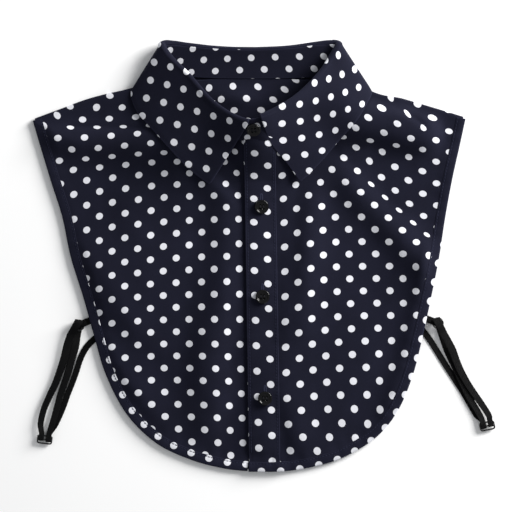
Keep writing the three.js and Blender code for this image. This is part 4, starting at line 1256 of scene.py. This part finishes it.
def stitch_row(name, path):
    """A row of stitches along a path of points in mm. All of them are one mesh."""
    run = run_of(path)
    starts = np.arange(0.4, run[-1] - STITCH_LENGTH - 0.4, STITCH_PITCH)
    t = np.array([-1, -0.72, -0.3, 0.3, 0.72, 1.0])
    at = starts[:, None] + STITCH_LENGTH * (t + 1) / 2
    centre = np.stack([np.interp(at, run, path[:, k]) for k in range(3)], -1)
    centre[..., 2] += STITCH_LIFT * (1 - 2.2 * t**6) - 0.05
    ahead = unit(centre[:, -1] - centre[:, 0])[:, None]
    across = unit(np.cross(ahead, UPWARDS))
    over = np.cross(across, ahead)
    angle = full_turn(6)
    thick = STITCH_RADIUS * np.sqrt(1 - 0.6 * t**8)[None, :, None, None]
    ring = across[:, :, None] * np.cos(angle)[:, None] + over[:, :, None] * np.sin(angle)[:, None]
    points = centre[:, :, None] + ring * thick
    count, rings, around = points.shape[:3]
    index = np.arange(count * rings * around).reshape(count, rings, around)
    nexts = np.roll(index, -1, axis=2)
    quads = np.stack([index[:, :-1], nexts[:, :-1], nexts[:, 1:], index[:, 1:]], -1).reshape(-1, 4)
    laid = np.stack(np.broadcast_arrays(at[..., None], angle * STITCH_RADIUS), -1).reshape(-1, 2)
    caps = [cap for k in range(count) for cap in (index[k, 0, ::-1], index[k, -1])]
    return build(name, points.reshape(-1, 3), quads, laid[quads], navy_thread, "run", None, caps)


def placket_line(across, height):
    """A line down the placket, this far over its middle."""
    along = np.linspace(0.004, 0.985, 260)
    return on_placket(along, np.full(along.shape, across)) + height * UPWARDS


free_edge_stitches = stitch_row("placket_free_edge_stitches", placket_line(-SEWN_ACROSS, 0.56))
sewn_edge_stitches = stitch_row("placket_sewn_edge_stitches", placket_line(SEWN_ACROSS, 0.28))
right_binding_stitches = stitch_row("right_binding_stitches", right_sewn)
left_binding_stitches = stitch_row("left_binding_stitches", left_sewn)
back_binding_stitches = stitch_row("back_binding_stitches", back_sewn)

# %% [markdown]
# A buttonhole is a slit with satin stitch round it. It stands upright on the placket and its
# upper end shows over each button. It is made as a closed roll of thread along a long loop.

# %% Buttonholes
PLACKET_BUTTONS = [("upper", 0.203, 0.5), ("middle", 0.485, 0.4), ("lower", 0.803, 1.1)]  # along, across
PLACKET_LENGTH = np.linalg.norm(PLACKET_FOOT - PLACKET_TOP)
HOLE_HALF_LENGTH, HOLE_HALF_WIDTH, HOLE_UP = 7.6, 0.75, 2.6  # mm, and how far over the button it is
ROLL_HALF_WIDTH, ROLL_HALF_HEIGHT = 0.62, 0.26  # mm


def squared(wave_value, power):
    """A sine or cosine made squarer, for oblongs with round ends and corners."""
    return np.sign(wave_value) * np.abs(wave_value) ** power


buttonholes = []
for label, along, across in PLACKET_BUTTONS:
    turn = full_turn(96)
    upright = squared(np.cos(turn), 0.35) * HOLE_HALF_LENGTH
    sideways = squared(np.sin(turn), 0.45) * HOLE_HALF_WIDTH
    loop = on_placket(along - (upright + HOLE_UP) / PLACKET_LENGTH, across + sideways)
    loop[:, 2] += 0.62
    ridge = ROLL_HALF_HEIGHT + 0.05 * np.sin(np.arange(96) * 2.1)
    rings = rings_along(loop, UPWARDS, ROLL_HALF_WIDTH, ridge)
    buttonholes.append(strip(f"{label}_buttonhole", rings, laid_along(rings), navy_thread, closed=True))

# %% [markdown]
# The buttons are turned discs with a raised rim, a dished face and four holes. A lathe shape is
# easy to get by turning a profile, and the holes could be cut with a boolean. Here the face is a
# fine net of points, and those that lie in a hole are pushed down, which keeps the mesh clean.

# %% Buttons
BUTTON_THICKNESS, BUTTON_DISH, THREAD_RADIUS = 2.4, 0.8, 0.13  # mm
HOLE_RADIUS, HOLE_OFFSET, HOLE_DEPTH = 0.78, 1.35, 1.35
FACE_HEIGHT = BUTTON_THICKNESS - BUTTON_DISH
RIM = [  # radius and height, from the back round the rim and down to the face
    (0.4, 0.0), (3.6, 0.0), (4.9, 0.05), (5.5, 0.35), (5.78, 0.85), (5.8, 1.35), (5.74, 1.85),
    (5.5, 2.22), (5.15, 2.39), (4.8, 2.37), (4.5, 2.2), (4.25, 1.9), (4.0, 1.68), (3.7, FACE_HEIGHT),
]
FACE = [(r, FACE_HEIGHT - 0.05 * (1 - r / 3.7)) for r in np.linspace(3.5, 0.12, 30)]
BUTTON_PROFILE = np.array(RIM + FACE)
SPOKES = 112


def button_threads(label, seat, across, up, out):
    """Four strands over each pair of holes."""
    t = np.linspace(-1, 1, 15)
    bow = 0.42 * (1 - t**2) + 0.18 * (1 - np.abs(t) ** 6) - 0.9 * np.abs(t) ** 8
    strands = [(side, strand) for side in (-1, 1) for strand in (-0.3, -0.1, 0.1, 0.3)]
    for k, (side, strand) in enumerate(strands):
        spread = side * HOLE_OFFSET + strand * (0.8 + 0.4 * (1 - t**2))
        local = np.stack([spread, t * (HOLE_OFFSET + 0.05), FACE_HEIGHT + bow], -1)
        path = seat + local[:, :1] * across + local[:, 1:2] * up + local[:, 2:] * out
        rings = rings_along(path, out, THREAD_RADIUS, THREAD_RADIUS, 8, closed=False)
        strip(f"{label}_button_thread_{k + 1}", rings, laid_along(rings, closed=False), dark_thread)


def button(label, node_name, seat, across, out):
    angle = full_turn(SPOKES)
    radius, height = BUTTON_PROFILE[:, 0], BUTTON_PROFILE[:, 1:]
    x, y = np.multiply.outer(radius, np.cos(angle)), np.multiply.outer(radius, np.sin(angle))
    to_hole = np.hypot(np.abs(x) - HOLE_OFFSET, np.abs(y) - HOLE_OFFSET)
    on_face = (np.arange(len(BUTTON_PROFILE)) >= len(RIM) - 1)[:, None]
    z = height - on_face * (HOLE_DEPTH * smooth((HOLE_RADIUS + 0.12 - to_hole) / 0.24))
    up = np.cross(out, across)
    points = seat + x[..., None] * across + y[..., None] * up + z[..., None] * out
    piece = strip(f"{label}_button", points, laid_along(points, closed=False), resin)
    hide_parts(node_name)
    button_threads(label, seat, across, up, out)


def seat_on(surface, at, right, up, off):
    """A button's place on a surface, and its ways across and out. right and up are small moves."""
    at, right, up = (np.array(v, float) for v in (at, right, up))
    across = unit(surface(*(at + right)) - surface(*(at - right)))
    out = unit(np.cross(across, unit(surface(*(at + up)) - surface(*(at - up)))))
    return surface(*at) + out * off, across, out


for label, along, across in PLACKET_BUTTONS:
    seat = seat_on(on_placket, (along, across), (0, 5), (-0.02, 0), 1.0)
    button(label, f"placket_button_{label}", *seat)

# %% [markdown]
# The fourth button holds the two ends of the stand together. It is the same button, but it
# stands nearly upright, on the outside of the stand.

# %% The stand's button
STAND_BUTTON = (19.42, 0.55)  # station, and how far up from the seam to the roll


def on_stand(station, up):
    return mix(seam_line(station), roll_line(station), up)


button("stand", "stand_button", *seat_on(on_stand, STAND_BUTTON, (-0.1, 0), (0, 0.1), 1.15))

# %% [markdown]
# Each strap is one length of elastic: from the slider's middle bar to the ring, through it, back
# to the slider, round the bar, and on to the edge of the back. The three strands between the
# slider and the ring lie as they fell, so a table says where each one runs.

# %% Where the straps run
STRAP_WIDTH, STRAP_THICKNESS, WIRE = 6.4, 0.8, 1.3  # mm
RING_OUTER, RING_HEIGHT = 9.6, 2.6
SLIDER_LONG, SLIDER_WIDE, SLIDER_HEIGHT = 12.8, 7.7, 2.3
TO_WIRE = (RING_OUTER - WIRE) / 2  # from the ring's centre to the middle of its wire
OVER_WIRE = WIRE / 2 + 0.35 + STRAP_THICKNESS / 2  # from a wire's middle to a strap's middle
IN_RING_WIDTH, TAB_WIDTH, AT_SLIDER_WIDTH = 6.0, 5.7, 4.5
STRAND_WIDTHS = {"first": (5.0, 6.6), "second": (6.6, 5.0), "third": (4.8, 5.2)}  # at start and end
FROM_MIDDLE = 3.0  # mm from the slider's middle to each side where a strand passes it
# Strands are rows of x, y, z. The ring and the slider have x, y and a heading in degrees, the tab
# has x, y where it leaves the panel, and aside is how far the slack loop has slipped on the ring.
STRAPS = {
    "right": {
        "ring": (-151.3, -58.0, 247), "slider": (-179.3, -151.6, 263), "tab": (-138.3, -52.4),
        "first_side": -1, "aside": (-2.9, 0.4),
        "first": [
            (-182.6, -138.5, 3.4), (-179.9, -126.8, 3.2), (-175.2, -115.8, 3.1), (-170.4, -105.6, 3.1),
            (-166.6, -95.4, 3.2), (-163.4, -85.5, 3.4), (-160.8, -75, 3.8)],
        "second": [
            (-154.4, -75.5, 1.7), (-157.2, -86, 1.9), (-160, -96, 2.0), (-163.3, -106, 2.1),
            (-166.4, -115, 2.2), (-169.0, -124.5, 2.4), (-171.8, -134.5, 2.8)],
        "third": [
            (-171.0, -140, 0.9), (-167.6, -133, 0.8), (-164.0, -124.4, 0.7), (-160.7, -115, 0.7),
            (-157.0, -105.6, 0.65), (-153.6, -96.2, 0.65), (-150.5, -86.5, 0.65), (-147, -79, 0.6),
            (-142.6, -73, 0.6), (-134.4, -65.5, 0.6)],
    },
    "left": {
        "ring": (142.9, -56.2, 296), "slider": (183.3, -140.5, 282), "tab": (129.2, -51),
        "first_side": 1, "aside": (0.4, -0.2),
        "first": [
            (184.3, -131.4, 3.5), (178.8, -122.8, 3.2), (173, -114.6, 3.1), (166.9, -105.4, 3.1),
            (161.4, -95.4, 3.2), (157.7, -86.8, 3.4), (154.2, -77.5, 3.8)],
        "second": [
            (150.8, -78, 1.7), (154.7, -86.8, 1.9), (158.6, -95.4, 2.0), (163.2, -106, 2.1),
            (167.6, -115.4, 2.2), (172.2, -123.3, 2.4), (176.8, -131, 2.8)],
        "third": [
            (174.4, -131.5, 0.9), (168.4, -121.3, 0.7), (162.9, -111.8, 0.7), (155.9, -100.9, 0.65),
            (148.8, -89.9, 0.65), (142.5, -79.7, 0.6), (135.5, -68.7, 0.6), (127.5, -58.5, 0.6)],
    },
}

print("rows of each strand on the right:", [len(STRAPS["right"][strand]) for strand in STRAND_WIDTHS])

# %% [markdown]
# Flat elastic keeps its width and turns on itself. Blender's curves twist a section on a path
# that turns back on itself, so each row says which way the elastic heads, and its width lies
# square to that way. The section is a flat oval, a little thinner at its edges.

# %% Flat elastic
PER_ROW = 14  # rings from one row to the next


def heading(degrees):
    return np.array([np.cos(np.radians(degrees)), np.sin(np.radians(degrees))])


def side_of(way):
    """The way on the table that is square to another."""
    return np.array([-way[1], way[0]])


def ribbon(name, rows):
    """Elastic along rows of x, y, z, heading and width. A heading of None follows the path."""
    points = np.array([row[:3] for row in rows], float)
    last = len(rows) - 1
    headings = []
    for i, row in enumerate(rows):
        ahead = points[min(last, i + 1)] - points[max(0, i - 1)]
        chosen = unit(ahead[:2]) if row[3] is None else np.array(row[3], float)
        if headings and chosen @ headings[-1] < 0:
            chosen = -chosen
        headings.append(chosen)
    t = np.linspace(0, last, last * PER_ROW + 1)
    path, rows_at = through(points)(t), np.arange(last + 1)
    toward = unit(np.stack([np.interp(t, rows_at, way) for way in np.array(headings).T], -1))
    across = np.stack([-toward[:, 1], toward[:, 0], np.zeros(len(t))], -1)
    over = unit(np.cross(np.gradient(path, axis=0), across))
    run = run_of(path)
    half = np.interp(t, rows_at, [row[4] for row in rows]) / 2 + 0.06 * np.sin(run * 1.9)
    angle = full_turn(20)
    wide = squared(np.cos(angle), 0.45)
    high = squared(np.sin(angle), 0.8) * (1 - 0.12 * np.abs(wide) ** 4)
    rings = path[:, None] + across[:, None] * wide[:, None] * half[:, None, None]
    rings = rings + over[:, None] * high[:, None] * STRAP_THICKNESS / 2
    wide_map = np.append(wide, wide[:1]) * STRAP_WIDTH / 2
    return strip(name, rings, np.stack(np.broadcast_arrays(run[:, None], wide_map), -1), elastic)


def strand_rows(parts, strand):
    """A strand's rows from the table, with its widths."""
    widths = np.linspace(*STRAND_WIDTHS[strand], len(parts[strand]))
    return [(*row, None, width) for row, width in zip(parts[strand], widths)]


print("strap", STRAP_WIDTH, "mm wide,", STRAP_THICKNESS, "mm thick")

# %% [markdown]
# A strap and a tab both turn round the ring's wire, and the strap turns round the slider's bar.
# Each turn is a short list of places: how far along the way out, and how high over the wire, in
# heights of a strap that rests on it. The same lists serve both sides of the collar.

# %% Turns round the wires
TAB_NEAR = TO_WIRE - OVER_WIRE - 1.05
TAB_TURN = [
    (TO_WIRE + 3.5, -1), (TO_WIRE, -1), (TAB_NEAR + 0.75, -0.8), (TAB_NEAR, 0),
    (TAB_NEAR + 0.75, 0.8), (TO_WIRE, 1),
]
ABOVE_RING = [
    (TO_WIRE + 6, 1.25), (TO_WIRE + 2.8, 1.6), (TO_WIRE, 2.2), (1.5, 2.65), (-1.5, 2.75), (-3.6, 2.5),
]
BELOW_RING = [
    (-4.3, 2.05), (-3.4, 1.6), (-1.0, 1.3), (1.2, 0.5), (2.6, -0.5), (TO_WIRE + 0.3, -1),
    (TO_WIRE + 3, -1), (TO_WIRE + 6, -0.95),
]
ABOVE_SHARES = np.linspace(1, 0.45, len(ABOVE_RING))  # how much of its slip the loop has
BELOW_SHARES = [0.35, 0.15] + 6 * [0.0]
SLIDER_TURN = [
    (-4.5, OVER_WIRE), (-0.2, OVER_WIRE), (1.05, OVER_WIRE - 0.45), (1.45, 0),
    (1.05, 0.45 - OVER_WIRE), (-0.2, -OVER_WIRE), (-4.5, -OVER_WIRE),
]


def ring_rows(ring_at, way, turn, width, slips=None):
    """Rows at the ring. slips are small moves to the side, one for each row."""
    slips = np.zeros((len(turn), 2)) if slips is None else slips
    return [
        (*(ring_at + slip + way * off), RING_HEIGHT + z * OVER_WIRE, way, width)
        for slip, (off, z) in zip(slips, turn)
    ]


def slack_loop(ring_at, toward, back_way, aside):
    """The strap's turn: over the ring in a slack loop, down through it and back under the wire."""
    over = ring_rows(ring_at, toward, ABOVE_RING, STRAP_WIDTH, np.outer(ABOVE_SHARES, aside))
    return over + ring_rows(ring_at, back_way, BELOW_RING, IN_RING_WIDTH, np.outer(BELOW_SHARES, aside))


def strap_rows(parts):
    """All rows of one strap, from the slider's bar to the back panel."""
    ring_at, ring_way = np.array(parts["ring"][:2]), heading(parts["ring"][2])
    slider_at, leaving = np.array(parts["slider"][:2]), heading(parts["slider"][2])
    beside = FROM_MIDDLE * parts["first_side"] * side_of(leaving)

    def at_slider(off, z, strand=-1):
        place = slider_at + leaving * off + strand * beside
        return (*place, SLIDER_HEIGHT + z, leaving, AT_SLIDER_WIDTH)

    start = [at_slider(1.2, OVER_WIRE, 1), at_slider(-4.5, OVER_WIRE, 1)]
    back_way = unit(np.array(parts["second"][0][:2]) - ring_at)
    over_ring = slack_loop(ring_at, ring_way, back_way, np.array(parts["aside"]))
    round_bar = [at_slider(*place) for place in SLIDER_TURN]
    first, second, third = (strand_rows(parts, strand) for strand in STRAND_WIDTHS)
    return [*start, *first, *over_ring, *second, *round_bar, *third]


def tab_rows(parts):
    """The tab, from the panel's edge under the wire, up through the ring and back over the wire."""
    ring_at, tab_at = np.array(parts["ring"][:2]), np.array(parts["tab"])
    to_panel = unit(tab_at - ring_at)
    loop = ring_rows(ring_at, to_panel, TAB_TURN, TAB_WIDTH)
    end = (*(np.array(loop[-1][:2]) + 2 * to_panel), *loop[-1][2:])
    return [(*tab_at, loop[0][2], to_panel, TAB_WIDTH), *loop[1:], end]


print("rows of the right strap:", len(strap_rows(STRAPS["right"])))

# %% [markdown]
# The ring is one closed wire. The slider is a rounded frame of the same wire with a bar across
# its middle. All three are round tubes along a path, so one helper makes them.

# %% The two straps
def round_tube(name, path, closed=True):
    rings = rings_along(path, UPWARDS, WIRE / 2, WIRE / 2, 16, closed)
    return strip(name, rings, laid_along(rings, closed), coated_wire, closed=closed)


def wire_ring(name, ring_at):
    turn = full_turn(72)
    circle = ring_at + TO_WIRE * np.stack([np.cos(turn), np.sin(turn)], -1)
    return round_tube(name, with_height(circle, RING_HEIGHT))


def wire_slider(name, slider_at, leaving):
    """The slider's frame and its bar. The frame is the piece that stands for the CAD one."""
    half_long, half_wide = (SLIDER_LONG - WIRE) / 2, (SLIDER_WIDE - WIRE) / 2
    across, turn = side_of(leaving), full_turn(72)
    long_way = squared(np.cos(turn), 0.32)[:, None] * half_long * across
    wide_way = squared(np.sin(turn), 0.32)[:, None] * half_wide * leaving
    rim = slider_at + long_way + wide_way
    bar = slider_at + np.linspace(-half_long, half_long, 16)[:, None] * across
    outer_frame = round_tube(f"{name}_frame", with_height(rim, SLIDER_HEIGHT))
    round_tube(f"{name}_bar", with_height(bar, SLIDER_HEIGHT), closed=False)
    return outer_frame


for side, parts in STRAPS.items():
    strap = ribbon(f"{side}_elastic", strap_rows(parts))
    tab = ribbon(f"{side}_tab", tab_rows(parts))
    ring = wire_ring(f"{side}_ring", np.array(parts["ring"][:2]))
    slider = wire_slider(f"{side}_slider", np.array(parts["slider"][:2]), heading(parts["slider"][2]))
    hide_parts(f"{side}_strap")
    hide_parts(f"{side}_strap_tab")
    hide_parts(f"{side}_strap_ring")
    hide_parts(f"{side}_strap_slider")

# %% [markdown]
# Each sheet of cloth gives the size it was cut to, and the area of its mesh is printed next to
# the area of the cut.


def cloth_area(piece):
    """Half the surface of a closed sheet, in square metres."""
    return sum(face.area for face in piece.data.polygons) / 2


# Piece, flat width and length in m, area in m2 where the cut isn't a rectangle, how it is held,
# what it lies on and what goes with it
SHEETS = [
    (right_front, (0.202, 0.283), 0.0440, "laid", [back], []),
    (left_front, (0.190, 0.283), 0.0370, "laid", [back], buttonholes),
    (back, (0.375, 0.300), 0.0790, "laid", [], []),
    (placket, (0.0265, 0.263), None, "laid", [left_front], [free_edge_stitches, sewn_edge_stitches]),
    (stand, (0.368, 0.024), None, "stretched", [right_front, left_front, back], []),
    (leaf, (0.420, 0.064), 0.0215, "folded", [stand], []),
    (right_binding, (0.0105, 0.360), None, "folded", [right_front], [right_binding_stitches]),
    (left_binding, (0.0105, 0.378), None, "folded", [left_front], [left_binding_stitches]),
    (back_binding, (0.0105, 0.700), None, "folded", [back], [back_binding_stitches]),
]
for piece, flat, area, held, lies_on, goes_with in SHEETS:
    cut = area or flat[0] * flat[1]
    print("area of", piece.name, round(cloth_area(piece), 4), "m2, cut", round(cut, 4), "m2")

# %% [markdown]
# When all pieces are in place, the scene is brought up to date.

# %% Bring the scene up to date
bpy.context.view_layer.update()
